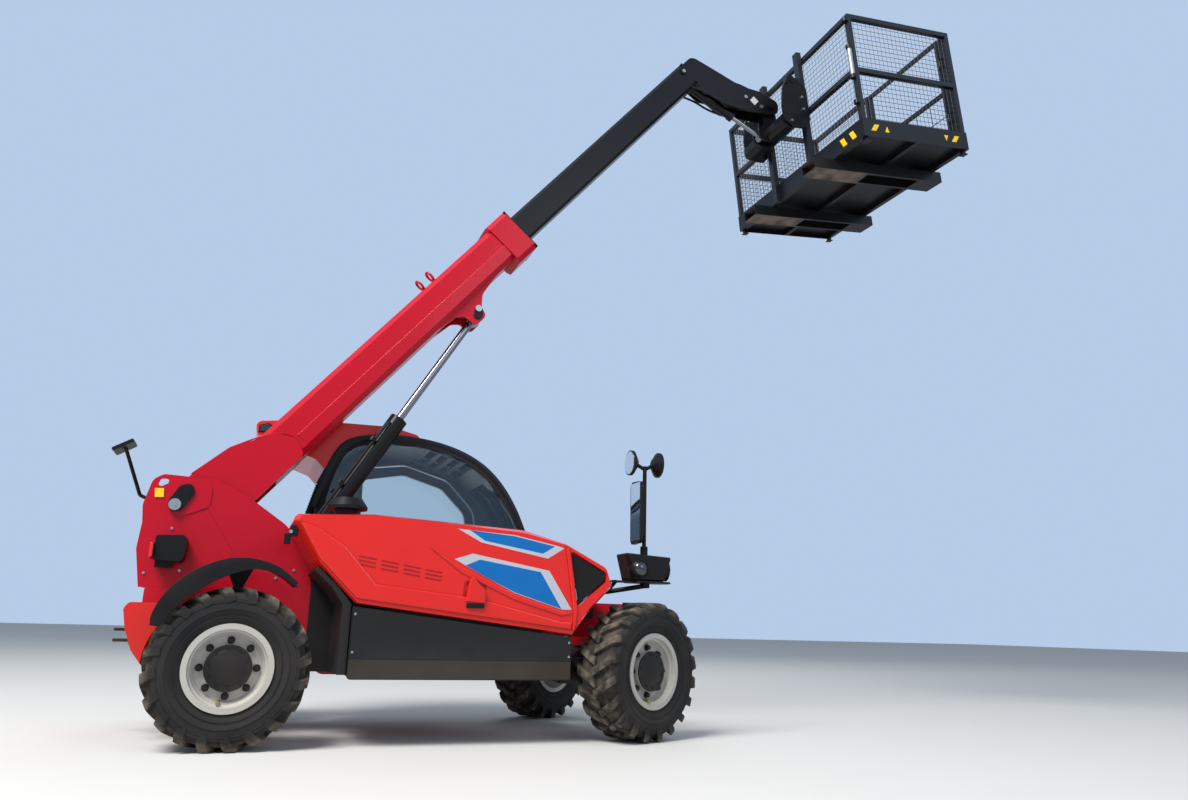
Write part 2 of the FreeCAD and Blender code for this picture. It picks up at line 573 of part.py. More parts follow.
def build_boom():
    half = size["outer_width"] / 2.0
    top = size["outer_top"]
    bottom = top - size["outer_depth"]
    start, end = size["outer_start"], size["outer_end"]
    wall = size["outer_wall"]
    shell = tube(start, end, half, bottom, top, wall, size["outer_bevel"])
    pin_x, pin_z = -size["pivot_back"], size["pivot_rise"]
    # Root plates that reach back to the pivot: (along, up, corner radius).
    root = [(pin_x - 66, pin_z - 60, 60), (pin_x - 72, pin_z + 50, 60), (10, 104, 60), (281, 74, 80),
            (410, top + 4, 60),
            (536, -49, 60), (598, -160, 50), (560, bottom + 10, 20), (540, bottom, 0), (140, bottom, 90)]
    cheek = side_slab(root, half - wall, half + 14)
    lid = side_slab([(10, 100, 0), (281, 70, 0), (425, top, 0), (425, top - wall + 1, 0), (279, 58, 0),
                     (10, 88, 0)],
                    wall - half - 1, half - wall + 1)
    bore = rod((pin_x, -half - 40, pin_z), (pin_x, half + 40, pin_z), size["pivot_pin_radius"] + FIT)
    sleeve = rod((pin_x, -half, pin_z), (pin_x, half, pin_z), size["pivot_pin_radius"] + 22)
    # Collar: a ring round the mouth, proud of the tube above and below.
    low, high, wide = bottom - 52, top + 28, half + 12
    ring = front_slab([(-wide + 30, low, 12), (wide - 30, low, 12), (wide, low + 34, 12),
                       (wide, high - 30, 12),
                       (wide - 30, high, 12), (-wide + 30, high, 12), (-wide, high - 30, 12),
                       (-wide, low + 34, 12)],
                      end - size["collar_length"], end)
    mouth = box(start, end + 1, wall - half, half - wall, bottom + wall, top - wall)
    collar = ring.cut(mouth)
    # Wear pads at the mouth that the inner boom slides on.
    slim = size["inner_width"] / 2.0 + FIT
    low, high = size["inner_top"] - size["inner_depth"] - FIT, size["inner_top"] + FIT
    inside = half - size["outer_wall"]
    pads = [box(end - 78, end - 12, side * slim, side * slim + side * (inside - slim + 1), -180, -80)
            if side > 0 else box(end - 78, end - 12, -inside - 1, -slim, -180, -80) for side in (1, -1)]
    pads += [box(end - 78, end - 12, -70, 70, high, top - size["outer_wall"] + 1),
             box(end - 78, end - 12, -70, 70, bottom + size["outer_wall"] - 1, low)]
    eye_place = BOOM_PLACE.inverse().multVec(
        Vector(ahead(size["lift_eye_x"]), BOOM_Y, size["lift_eye_z"]))
    ear_x, ear_z = eye_place.x, eye_place.z
    ear = [(ear_x - 280, bottom + 1, 0), (ear_x - 108, bottom - 20, 60), (ear_x - 60, ear_z + 42, 40),
           (ear_x - 62, ear_z - 54, 46), (ear_x + 56, ear_z - 54, 46), (ear_x + 70, ear_z + 10, 80),
           (ear_x + 150, bottom - 30, 80), (ear_x + 340, bottom + 1, 0)]
    ears = [side_slab(ear, -104, -84), side_slab(ear, 84, 104)]
    # Guide rings for the hoses on top of the outer boom.
    rings = []
    for along in (1950, 2050):
        ring = Part.makeTorus(34, 9, Vector(along, -70, top + 42), Vector(1, 0, 0))
        foot = box(along - 14, along + 14, -84, -56, top - 1, top + 9)
        rings += [ring, foot]
    feature("outer_boom", fused([shell, cheek, mirrored(cheek), lid, sleeve,
                                 collar] + ears + rings + pads)
            .cut(bore), BOOM_PLACE)


def build_inner_boom():
    half = size["inner_width"] / 2.0
    top = size["inner_top"]
    bottom = top - size["inner_depth"]
    wall = size["inner_wall"]
    begin = size["inner_start"]
    finish = size["inner_end"] - 160
    shell = tube(begin, finish, half, bottom, top, wall, 20)
    # Wear pads at the rear end that slide inside the outer boom.
    room = size["outer_width"] / 2.0 - size["outer_wall"] - FIT
    roof = size["outer_top"] - size["outer_wall"] - FIT
    floor = size["outer_top"] - size["outer_depth"] + size["outer_wall"] + FIT
    pads = [box(begin + 10, begin + 80, half - 1, room, -180, -80),
            box(begin + 10, begin + 80, -room, 1 - half, -180, -80),
            box(begin + 10, begin + 80, -60, 60, top - 1, roof),
            box(begin + 10, begin + 80, -60, 60, floor, bottom + 1)]
    # The tilt cylinder leaves through a slot in the bottom plate, from its own foot pin.
    fx, fz = size["tilt_foot_along"], size["tilt_foot_drop"]
    slot = box(finish - 110, finish + 1, -60, 60, bottom - 1, bottom + wall + 1)
    pin_hole = rod((fx, -half - 1, fz), (fx, half + 1, fz), 17 + FIT)
    feature("inner_boom", fused([shell] + pads).cut(slot).cut(pin_hole), BOOM_PLACE)

    inside, outside = size["head_inner"], size["head_outer"]
    pin_x, pin_z = size["carriage_along"], size["carriage_drop"]
    # Gooseneck head side outline: (along, up, corner radius), round from its root inside the inner boom.
    head = [(finish - 190, top - wall - 1, 0), (5166, top - wall - 1, 70), (5236, -211, 80),
            (5326, -449, 60),
            (5356, -492, 40), (5394, -566, 60), (5459, -650, 90), (pin_x + 86, pin_z - 36, 60),
            (pin_x + 4, pin_z - 98, 50), (pin_x - 64, pin_z - 72, 60), (5220, -702, 90), (5076, -549, 60),
            (5054, -399, 60), (5000, -341, 50), (4990, bottom, 0), (4990, bottom + wall + 1, 0),
            (finish - 190, bottom + wall + 1, 0)]
    # The same line drawn in by the cover's thickness above and in front, and open below.
    hollow = [(finish - 300, top - 22, 0), (5158, top - 22, 60), (5222, -214, 80), (5313, -453, 60),
              (5343, -497, 40),
              (5381, -571, 60), (5446, -656, 90), (5512, -840, 0), (5512, -1000, 0), (5200, -1000, 0),
              (4950, -600, 0), (finish - 300, -320, 0)]
    neck = side_slab(head, -outside, outside).cut(side_slab(hollow, -inside, inside))
    flange = box(finish + FIT, finish + 20, -half, half, bottom, top)
    flange = flange.cut(box(finish, finish + 21, -inside, inside, bottom - 1, fz + 36))
    bosses = [rod((pin_x, outside - 1, pin_z), (pin_x, outside + 9, pin_z), 50),
              rod((pin_x, -outside - 9, pin_z), (pin_x, 1 - outside, pin_z), 50)]
    foot_pin = rod((fx, -half - FIT, fz), (fx, half + FIT, fz), 17)
    caps = [rod((fx, half + FIT, fz), (fx, half + 10, fz), 26),
            rod((fx, -half - 10, fz), (fx, -half - FIT, fz), 26)]
    sweep = rod((pin_x, -inside, pin_z), (pin_x, inside, pin_z), 78)
    bore = rod((pin_x, -outside - 20, pin_z), (pin_x, outside + 20, pin_z),
               size["carriage_pin_radius"] + FIT)
    feature("boom_head", fused([neck.cut(sweep), flange, foot_pin] + bosses + caps).cut(bore), BOOM_PLACE)


def build_cylinders():
    # Lift cylinder, in the machine's own frame.
    foot = Vector(ahead(size["lift_foot_x"]), BOOM_Y, size["lift_foot_z"])
    eye = Vector(ahead(size["lift_eye_x"]), BOOM_Y, size["lift_eye_z"])
    line = (eye - foot).normalize()
    r = size["lift_barrel_radius"]
    barrel = Part.makeCylinder(r, size["lift_barrel_length"] - 60, foot + line * 60, line)
    gland = Part.makeCylinder(r + 9, 66, foot + line * (size["lift_barrel_length"] - 66), line)
    lug = rod((foot.x, BOOM_Y - 45, foot.z), (foot.x, BOOM_Y + 45, foot.z), 62)
    bore = Part.makeCylinder(size["lift_rod_radius"] + FIT, size["lift_barrel_length"],
                             foot + line * 110, line)
    pin_hole = rod((foot.x, BOOM_Y - 60, foot.z), (foot.x, BOOM_Y + 60, foot.z), 30 + FIT)
    feature("lift_cylinder_barrel", fused([barrel, gland, lug]).cut(bore).cut(pin_hole))
    length = (eye - foot).Length
    start = size["lift_rod_start"]
    shaft = Part.makeCylinder(size["lift_rod_radius"], length - start, foot + line * start, line)
    eye_ring = rod((eye.x, BOOM_Y - 40, eye.z), (eye.x, BOOM_Y + 40, eye.z), 50)
    eye_pin = rod((eye.x, BOOM_Y - 84 + FIT, eye.z), (eye.x, BOOM_Y + 84 - FIT, eye.z), 27)
    feature("lift_cylinder_rod", fused([shaft, eye_ring, eye_pin]))
    # Tilt cylinder, in the boom's frame.
    foot = Vector(size["tilt_foot_along"], 0, size["tilt_foot_drop"])
    eye = Vector(size["tilt_eye_along"], 0, size["tilt_eye_drop"])
    line = (eye - foot).normalize()
    length = (eye - foot).Length
    r = size["tilt_barrel_radius"]
    reach = size["tilt_barrel_length"]
    barrel = Part.makeCylinder(r, reach - 50, foot + line * 30, line)
    gland = Part.makeCylinder(r + 6, 40, foot + line * (reach - 40), line)
    lug = rod((foot.x, -34, foot.z), (foot.x, 34, foot.z), 33)
    bore = Part.makeCylinder(size["tilt_rod_radius"] + FIT, reach, foot + line * 44, line)
    pin_hole = rod((foot.x, -50, foot.z), (foot.x, 50, foot.z), 17 + FIT)
    feature("tilt_cylinder_barrel", fused([barrel, gland, lug]).cut(bore).cut(pin_hole), BOOM_PLACE)
    start = size["tilt_rod_start"]
    shaft = Part.makeCylinder(size["tilt_rod_radius"], length - start, foot + line * start, line)
    lugs = size["carriage_lug_inner"] - FIT
    eye_ring = rod((eye.x, -30, eye.z), (eye.x, 30, eye.z), 36)
    eye_pin = rod((eye.x, -lugs, eye.z), (eye.x, lugs, eye.z), 18)
    feature("tilt_cylinder_rod", fused([shaft, eye_ring, eye_pin]), BOOM_PLACE)


# Carriage and basket, in the carriage's own frame: origin at its pivot pin, X level and forward

def build_carriage():
    inner, outer = size["carriage_lug_inner"], size["carriage_lug_outer"]
    # Lugs between the head's plates, round the pivot and down to the tilt rod's eye: (forward, up, radius).
    lug = [(-52, 20, 40), (-30, 60, 30), (30, 60, 30), (52, 20, 40), (60, -200, 40), (55, -333, 20),
           (-70, -333, 40),
           (-130, -312, 40), (-136, -240, 40), (-66, -176, 60)]
    cheek = side_slab(lug, inner, outer)
    cap_y = size["head_outer"] + 9 + FIT
    pin = rod((0, -cap_y, 0), (0, cap_y, 0), size["carriage_pin_radius"])
    caps = [rod((0, cap_y, 0), (0, cap_y + 10, 0), 36), rod((0, -cap_y - 10, 0), (0, -cap_y, 0), 36)]
    # Coupler: lower beam, side plates, the stub pins for the hooks and the locking pins.
    spread = size["coupler_spread"]
    reach = spread + 32
    section = [(-70, -236, 10), (-34, -200, 10), (55, -200, 12), (55, -333, 20), (-70, -333, 62)]
    beam = side_slab(section, outer - 1, reach + 1)
    web = box(20, 55, -inner - 1, inner + 1, -333, -200)
    side = [(-28, 26, 20), (30, 128, 30), (80, 146, 24), (150, 96, 20), (208, 40, 30), (208, -262, 40),
            (130, -334, 30), (40, -334, 20), (-50, -280, 30), (-56, -150, 40)]
    hook_x, hook_z = size["coupler_hook_x"], size["coupler_hook_z"]
    lock_x, lock_z = size["coupler_lock_x"], size["coupler_lock_z"]
    flank = side_slab(side, reach, reach + 18)
    flank = flank.cut(rod((18, reach - 1, 62), (18, reach + 20, 62), 14))
    hook = rod((hook_x, spread - 20, hook_z), (hook_x, reach + 24, hook_z), size["coupler_hook_radius"])
    lock = rod((lock_x, spread - 40, lock_z), (lock_x, reach + 24, lock_z), 13)
    half = [cheek, beam, flank, hook, lock]
    feature("carriage", fused(half + [mirrored(shape) for shape in half] + caps + [pin, web]),
            CARRIAGE_PLACE)


def basket_frame(x, y, z):
    """Carriage frame point of a point given from the basket's rear, middle and underside."""
    return Vector(size["basket_back"] + x, y + size["basket_plane_y"] - BOOM_Y, size["basket_drop"] + z)


def basket_box(x0, x1, y0, y1, z0, z1):
    low = basket_frame(x0, y0, z0)
    high = basket_frame(x1, y1, z1)
    return box(low.x, high.x, low.y, high.y, low.z, high.z)


def mesh_panel(along, across, length, height, thick, pitch):
    """Flat mesh panel: bars both ways at a pitch; along and across are unit vectors."""
    bars = []
    normal = along.cross(across)
    count_a = max(1, int(round(length / pitch)))
    count_b = max(1, int(round(height / pitch)))

    def bar(start, span, width_axis):
        points = [start, start + span, start + span + width_axis * thick, start + width_axis * thick]
        return Part.Face(Part.makePolygon(points + points[:1])).extrude(normal * thick)

    for index in range(count_a + 1):
        place = along * ((length - thick) * index / count_a)
        bars.append(bar(place, across * height, along))
    for index in range(count_b + 1):
        place = across * ((height - thick) * index / count_b)
        bars.append(bar(place, along * length, across))
    return fused(bars)


def build_basket():
    width, depth, height = size["basket_width"], size["basket_depth"], size["basket_height"]
    half = width / 2.0
    t = size["basket_tube"]
    toe = size["toe_board"]
    wall = 5
    # Floor: plate, edge frame, cross beams, toe boards and fork pockets.
    deck = basket_box(6, depth - 6, -half + 6, half - 6, 44, 49)
    toes = [basket_box(0, wall, -half, half, 0, toe),
            basket_box(depth - wall, depth, -half, half, 0, toe),
            basket_box(0, depth, -half, -half + wall, 0, toe),
            basket_box(0, depth, half - wall, half, 0, toe)]
    beams = [basket_box(x, x + 40, -half + 4, half - 4, 0, 45) for x in (4, 500, depth - 44)]
    spread = size["pocket_spread"]
    pw, ph, wl = size["pocket_width"], size["pocket_height"], size["pocket_wall"]
    pockets = []
    for side in (-1, 1):
        outer = basket_box(-190, depth + 60, side * spread - pw / 2 - wl, side * spread + pw / 2 + wl,
                           -ph - 2 * wl, -FIT)
        hole = basket_box(-200, depth + 70, side * spread - pw / 2, side * spread + pw / 2,
                          -ph - wl, -wl)
        # The bottom plate is open between the sleeve at the rear and the loop at the front.
        window = basket_box(340, depth - 180, side * spread - pw / 2 + 14, side * spread + pw / 2 - 14,
                            -ph - 2 * wl - 1, -ph - wl + 1)
        pockets.append(outer.cut(hole).cut(window))
    feet = []
    for x in (10, depth - 60):
        for y in (-half + 10, half - 60):
            feet.append(basket_box(x + 10, x + 40, y + 10, y + 40, -30, 1))
            feet.append(basket_box(x, x + 50, y, y + 50, -38, -30))
    feature("basket_floor", fused([deck] + toes + beams + feet), CARRIAGE_PLACE)
    feature("fork_pockets", fused(pockets), CARRIAGE_PLACE)

    # Rail frame: posts and rails stand on the toe boards, inside their line.
    posts = []
    for x in (6, depth - t - 6):
        for y in (-half + 6, half - t - 6):
            posts.append(basket_box(x, x + t, y, y + t, toe + FIT, height))
    gate_from, gate_to = -half + 110, 60
    post_gate = [basket_box(depth - t - 6, depth - 6, y, y + t, toe + FIT, height)
                 for y in (gate_to + 10,)]
    rails = [basket_box(6, 6 + t, -half + 6, half - 6, z, z + t) for z in (height - t, 560)]
    rails += [basket_box(6, depth - 6, y, y + t, z, z + t) for z in (height - t, 560)
              for y in (-half + 6, half - t - 6)]
    rails += [basket_box(depth - t - 6, depth - 6, gate_to + 10, half - 6, z, z + t)
              for z in (height - t, 560)]
    # Uprights behind the basket, with the hooks that hang on the coupler's stub pins.
    middle = BOOM_Y - size["basket_plane_y"]
    spread = size["coupler_spread"]
    uprights = [basket_box(-46, -FIT, y - 30, y + 30, -20, height + 46) for y in (middle - spread,
                                                                                  middle + spread)]
    joins = [basket_box(-47, 8, y - 22, y + 22, height - t, height) for y in (middle - spread,
                                                                              middle + spread)]
    hook_x, hook_z = size["coupler_hook_x"], size["coupler_hook_z"]
    claw = side_slab([(176, 10, 0), (176, hook_z + 60, 10), (hook_x - 6, hook_z + 60, 40),
                      (hook_x - 44, hook_z + 22, 20),
                      (hook_x - 40, hook_z - 14, 8), (hook_x + 40, hook_z - 14, 8),
                      (hook_x + 60, 40, 30)], -8, 8)
    claw = claw.cut(rod((hook_x, -20, hook_z), (hook_x, 20, hook_z), size["coupler_hook_radius"] + FIT))
    claws = []
    for y in (-spread, spread):
        copy = claw.copy()
        copy.translate(Vector(0, y, 0))
        claws.append(copy)
    lock_x, lock_z = size["coupler_lock_x"], size["coupler_lock_z"]
    lock_room = rod((lock_x, -spread - 60, lock_z), (lock_x, spread + 60, lock_z), 13 + FIT)
    hinge_post = gate_post(depth, t, toe, height, gate_from)
    feature("basket_rails", fused(posts + post_gate + rails + uprights + joins + claws + hinge_post)
            .cut(lock_room), CARRIAGE_PLACE)

    # Mesh panels between the rails, as coarse bars.
    pitch = 160
    up, fore, across = Vector(0, 0, 1), Vector(1, 0, 0), Vector(0, 1, 0)
    mesh_low = toe + FIT
    mesh_tall = 560 - mesh_low - FIT
    panels = []
    for z0, tall in ((mesh_low, mesh_tall), (560 + t + FIT, height - t - 560 - t - 2 * FIT)):
        back = mesh_panel(across, up, width - 2 * (t + 6 + FIT), tall, size["mesh_wire"], pitch)
        back.translate(basket_frame(20, -half + t + 6 + FIT, z0))
        panels.append(back)
        for y in (-half + 22, half - 22):
            side = mesh_panel(fore, up, depth - 2 * (t + 6 + FIT), tall, size["mesh_wire"], pitch)
            side.translate(basket_frame(t + 6 + FIT, y, z0))
            panels.append(side)
        front = mesh_panel(across, up, half - t - 6 - gate_to - 10 - t - 2 * FIT, tall,
                           size["mesh_wire"], pitch)
        front.translate(basket_frame(depth - 28, gate_to + 10 + t + FIT, z0))
        panels.append(front)
    feature("basket_mesh", Part.makeCompound(panels), CARRIAGE_PLACE)

    # Gate in the front face, hinged beside the right corner and opening inwards.
    g = 30
    gx0, gx1 = depth - t - 2, depth - t - 2 + g
    leaf = [basket_box(gx0, gx1, gate_from, gate_from + g, toe + 12, height - 8),
            basket_box(gx0, gx1, gate_to - g, gate_to, toe + 12, height - 8),
            basket_box(gx0, gx1, gate_from, gate_to, height - 8 - g, height - 8),
            basket_box(gx0, gx1, gate_from, gate_to, 560, 560 + g),
            basket_box(gx0, gx1, gate_from, gate_to, toe + 12, toe + 12 + g)]
    leaf_mesh = mesh_panel(across, up, gate_to - gate_from - 2 * g + 4, 560 - toe - 12 - g + 4,
                           size["mesh_wire"], pitch)
    leaf_mesh.translate(basket_frame(gx0 + 14, gate_from + g - 2, toe + 12 + g - 2))
    leaf.append(leaf_mesh)
    hinge_x, hinge_y = gx0 - 10, gate_from - 10
    for z in (300, 800):
        leaf.append(rod(basket_frame(hinge_x, hinge_y, z), basket_frame(hinge_x, hinge_y, z + 60), 13))
        leaf.append(basket_box(hinge_x, gx0 + 4, hinge_y, gate_from + 4, z, z + 60))
    holes = rod(basket_frame(hinge_x, hinge_y, 200), basket_frame(hinge_x, hinge_y, 1000), 7 + FIT)
    feature("basket_gate", fused(leaf).cut(holes), CARRIAGE_PLACE)


def gate_post(depth, t, toe, height, gate_from):
    """Post beside the gate with the pins that its hinge rings turn on."""
    gx0 = depth - t - 2
    hinge_x, hinge_y = gx0 - 10, gate_from - 10
    pieces = [basket_box(gx0, depth - 6, gate_from - 64, gate_from - 24, toe - 2, height),
              basket_box(depth - t - 6, depth - 6, -size["basket_width"] / 2 + 8, gate_from - 30,
                         height - t, height)]
    for z in (300, 800):
        pieces.append(rod(basket_frame(hinge_x, hinge_y, z - 14), basket_frame(hinge_x, hinge_y, z + 74),
                          7))
        for z0 in (z - 14, z + 66):
            pieces.append(basket_box(hinge_x - 9, hinge_x + 9, hinge_y - 26, hinge_y + 8, z0, z0 + 8))
            pieces.append(basket_box(hinge_x, gx0 + 6, hinge_y - 34, hinge_y - 8, z0, z0 + 8))
    return pieces


# Hood, side panel and battery

def hood_outline():
    """Side outline of the hood, (ahead of the rear axle, above the ground, corner radius)."""
    return [(ahead(225), 1225, 30), (ahead(683), 1252, 300), (ahead(1566), 1215, 300),
            (ahead(1840), 1148, 100), (ahead(2104), 1015, 50), (ahead(2140), 909, 30),
            (ahead(2006), 768, 60), (ahead(1887), 606, 10), (ahead(596), 752, 30),
            (ahead(378), 968, 60)]


def shrunk(points, inset):
    """The same outline drawn in towards its middle by about the inset."""
    middle_x = sum(p[0] for p in points) / len(points)
    middle_z = sum(p[1] for p in points) / len(points)
    out = []
    for x, z, r in points:
        reach = math.hypot(x - middle_x, z - middle_z)
        keep = (reach - inset) / reach
        out.append((middle_x + (x - middle_x) * keep, middle_z + (z - middle_z) * keep, r))
    return out


def tapered_slab(points, inset, y0, y1):
    """Slab with a sloped edge: the outline at y1, and the same one drawn in by the inset at y0."""
    wires = []
    for outline, y in ((shrunk(points, inset), y0), (points, y1)):
        wire = Part.Wire([edge.toShape() for edge in corner_edges(outline)])
        wire.rotate(Vector(0, 0, 0), Vector(1, 0, 0), 90)
        wire.translate(Vector(0, y, 0))
        wires.append(wire)
    return Part.makeLoft(wires, True, True)


def build_hood():
    outer_y, inner_y = size["hood_side_y"], size["hood_inner_y"]
    skin = size["hood_skin"]
    bevel = size["hood_bevel"]
    whole = tapered_slab(hood_outline(), 26, outer_y, outer_y + bevel)
    whole = whole.fuse(side_slab(hood_outline(), outer_y + bevel, inner_y)).removeSplitter()
    core = side_slab(shrunk(hood_outline(), 2 * skin), outer_y + skin, inner_y + 1)
    below = side_slab([(ahead(600), 560, 0), (ahead(1880), 560, 0), (ahead(1990), 780, 0),
                       (ahead(2040), 900, 0), (ahead(1500), 1000, 0), (ahead(420), 960, 0)],
                      outer_y + skin, inner_y + 1)
    hood = whole.cut(core).cut(below)
    grille = side_slab([(ahead(1846), 1110, 12), (ahead(2085), 984, 12), (ahead(2080), 931, 12),
                        (ahead(1898), 775, 12)], outer_y - 1, outer_y + skin + 1)
    # Louvres: short slots in three rows that fall towards the front, and the recess of the latch.
    recesses = []
    for column in range(4):
        for row in range(3):
            x, z = 606 + 124 * column, 1016 - 19 * column - 22 * row
            recesses.append(side_slab([(ahead(x), z, 4), (ahead(x + 96), z - 14, 4),
                                       (ahead(x + 96), z - 24, 4),
                                       (ahead(x), z - 10, 4)], outer_y - 1, outer_y + 9))
    recesses.append(side_slab([(ahead(1204), 905, 22), (ahead(1342), 888, 22), (ahead(1326), 758, 22),
                               (ahead(1198), 774, 22)], outer_y - 1, outer_y + 12))
    hood = hood.cut(fused(recesses))
    latch = side_slab([(ahead(1222), 872, 8), (ahead(1316), 861, 8), (ahead(1314), 836, 8),
                       (ahead(1220), 846, 8)],
                      outer_y + 2, outer_y + 13)
    # Hinge rings on the inner edge, round the pins of the frame's two posts.
    hinge_y, hinge_z = size["hood_hinge_y"], size["hood_hinge_z"]
    pin_line = rod((ahead(300), hinge_y, hinge_z), (ahead(1700), hinge_y, hinge_z), 7 + FIT)
    hinge_parts, posts = [], []
    for x in (520, 1420):
        posts.append(rod((ahead(x - 44), hinge_y, hinge_z), (ahead(x + 44), hinge_y, hinge_z), 7))
        posts.append(box(ahead(x - 12), ahead(x + 12), BOOM_Y - 216, BOOM_Y - 200 - FIT, 1050, hinge_z))
        posts.append(rod((ahead(x - 12), hinge_y, hinge_z), (ahead(x + 12), hinge_y, hinge_z), 12))
        hood = hood.cut(box(ahead(x - 16), ahead(x + 16), hinge_y - 20, inner_y + 1, 1100, 1300))
        for x0 in (x - 44, x + 16):
            hinge_parts.append(rod((ahead(x0), hinge_y, hinge_z), (ahead(x0 + 28), hinge_y, hinge_z), 13))
            hinge_parts.append(box(ahead(x0), ahead(x0 + 28), hinge_y - 30, hinge_y, 1215, hinge_z))
    room = tyre_room(X_FRONT, -1, -34.5, 28.5)
    feature("hood", fused([cleared(hood.cut(grille), room), latch] + hinge_parts).cut(pin_line))
    # Grille bars in the hood's front corner.
    inset = side_slab([(ahead(1846), 1110, 12), (ahead(2085), 984, 12), (ahead(2080), 931, 12),
                       (ahead(1898), 775, 12)], outer_y + 8, outer_y + 14)
    slots = [box(ahead(x), ahead(x + 22), outer_y, outer_y + 20, 700, 1200)
             for x in range(1860, 2080, 34)]
    feature("hood_grille", inset.cut(fused(slots)).fuse(
        side_slab([(ahead(1850), 1030, 0), (ahead(2084), 960, 0), (ahead(2084), 945, 0),
                   (ahead(1850), 1015, 0)], outer_y + 8, outer_y + 14).common(inset)))
    padded_body("side_panel", [(ahead(595), 357, 20), (ahead(595), 742, 10), (ahead(1868), 598, 10),
                               (ahead(1868), 357, 20)], outer_y + size["skirt_plate"] / 2.0,
                "Sizes.skirt_plate")
    # Battery pack: one plain block behind the side panel, on the frame.
    battery = doc.addObject("Part::Box", "battery_pack")
    battery.Label = "battery_pack"
    for role in ("length", "width", "height"):
        battery.setExpression(role.capitalize(), "Sizes.battery_" + role)
    battery.Placement = Placement(Vector(ahead(640), BOOM_Y - 200 - FIT - size["battery_width"], 370),
                                  Rotation())
    finished.append(battery)
    # Inner frame behind the side panel that carries the hood.
    panel_back = outer_y + size["skirt_plate"] + FIT
    frame = [box(ahead(600), ahead(624), panel_back, BOOM_Y - 200 - FIT, 372, 700),
             box(ahead(1716), ahead(1740), panel_back, BOOM_Y - 200 - FIT, 372, 590),
             box(ahead(600), ahead(624), outer_y + 90, BOOM_Y - 200 - FIT, 690, 1000),
             box(ahead(600), ahead(1740), BOOM_Y - 216, BOOM_Y - 200 - FIT, 824, 1060)]
    feature("hood_frame", fused(frame + posts))
    cap_x = ahead(548)
    cap = fused([rod((cap_x, -560, 1230), (cap_x, -560, 1300), 70).cut(whole),
                 rod((cap_x, -560, 1300), (cap_x, -560, 1318), 118),
                 Part.makeCone(118, 84, 48, Vector(cap_x, -560, 1318), Vector(0, 0, 1))])
    feature("breather_cap", cap)


# Cab

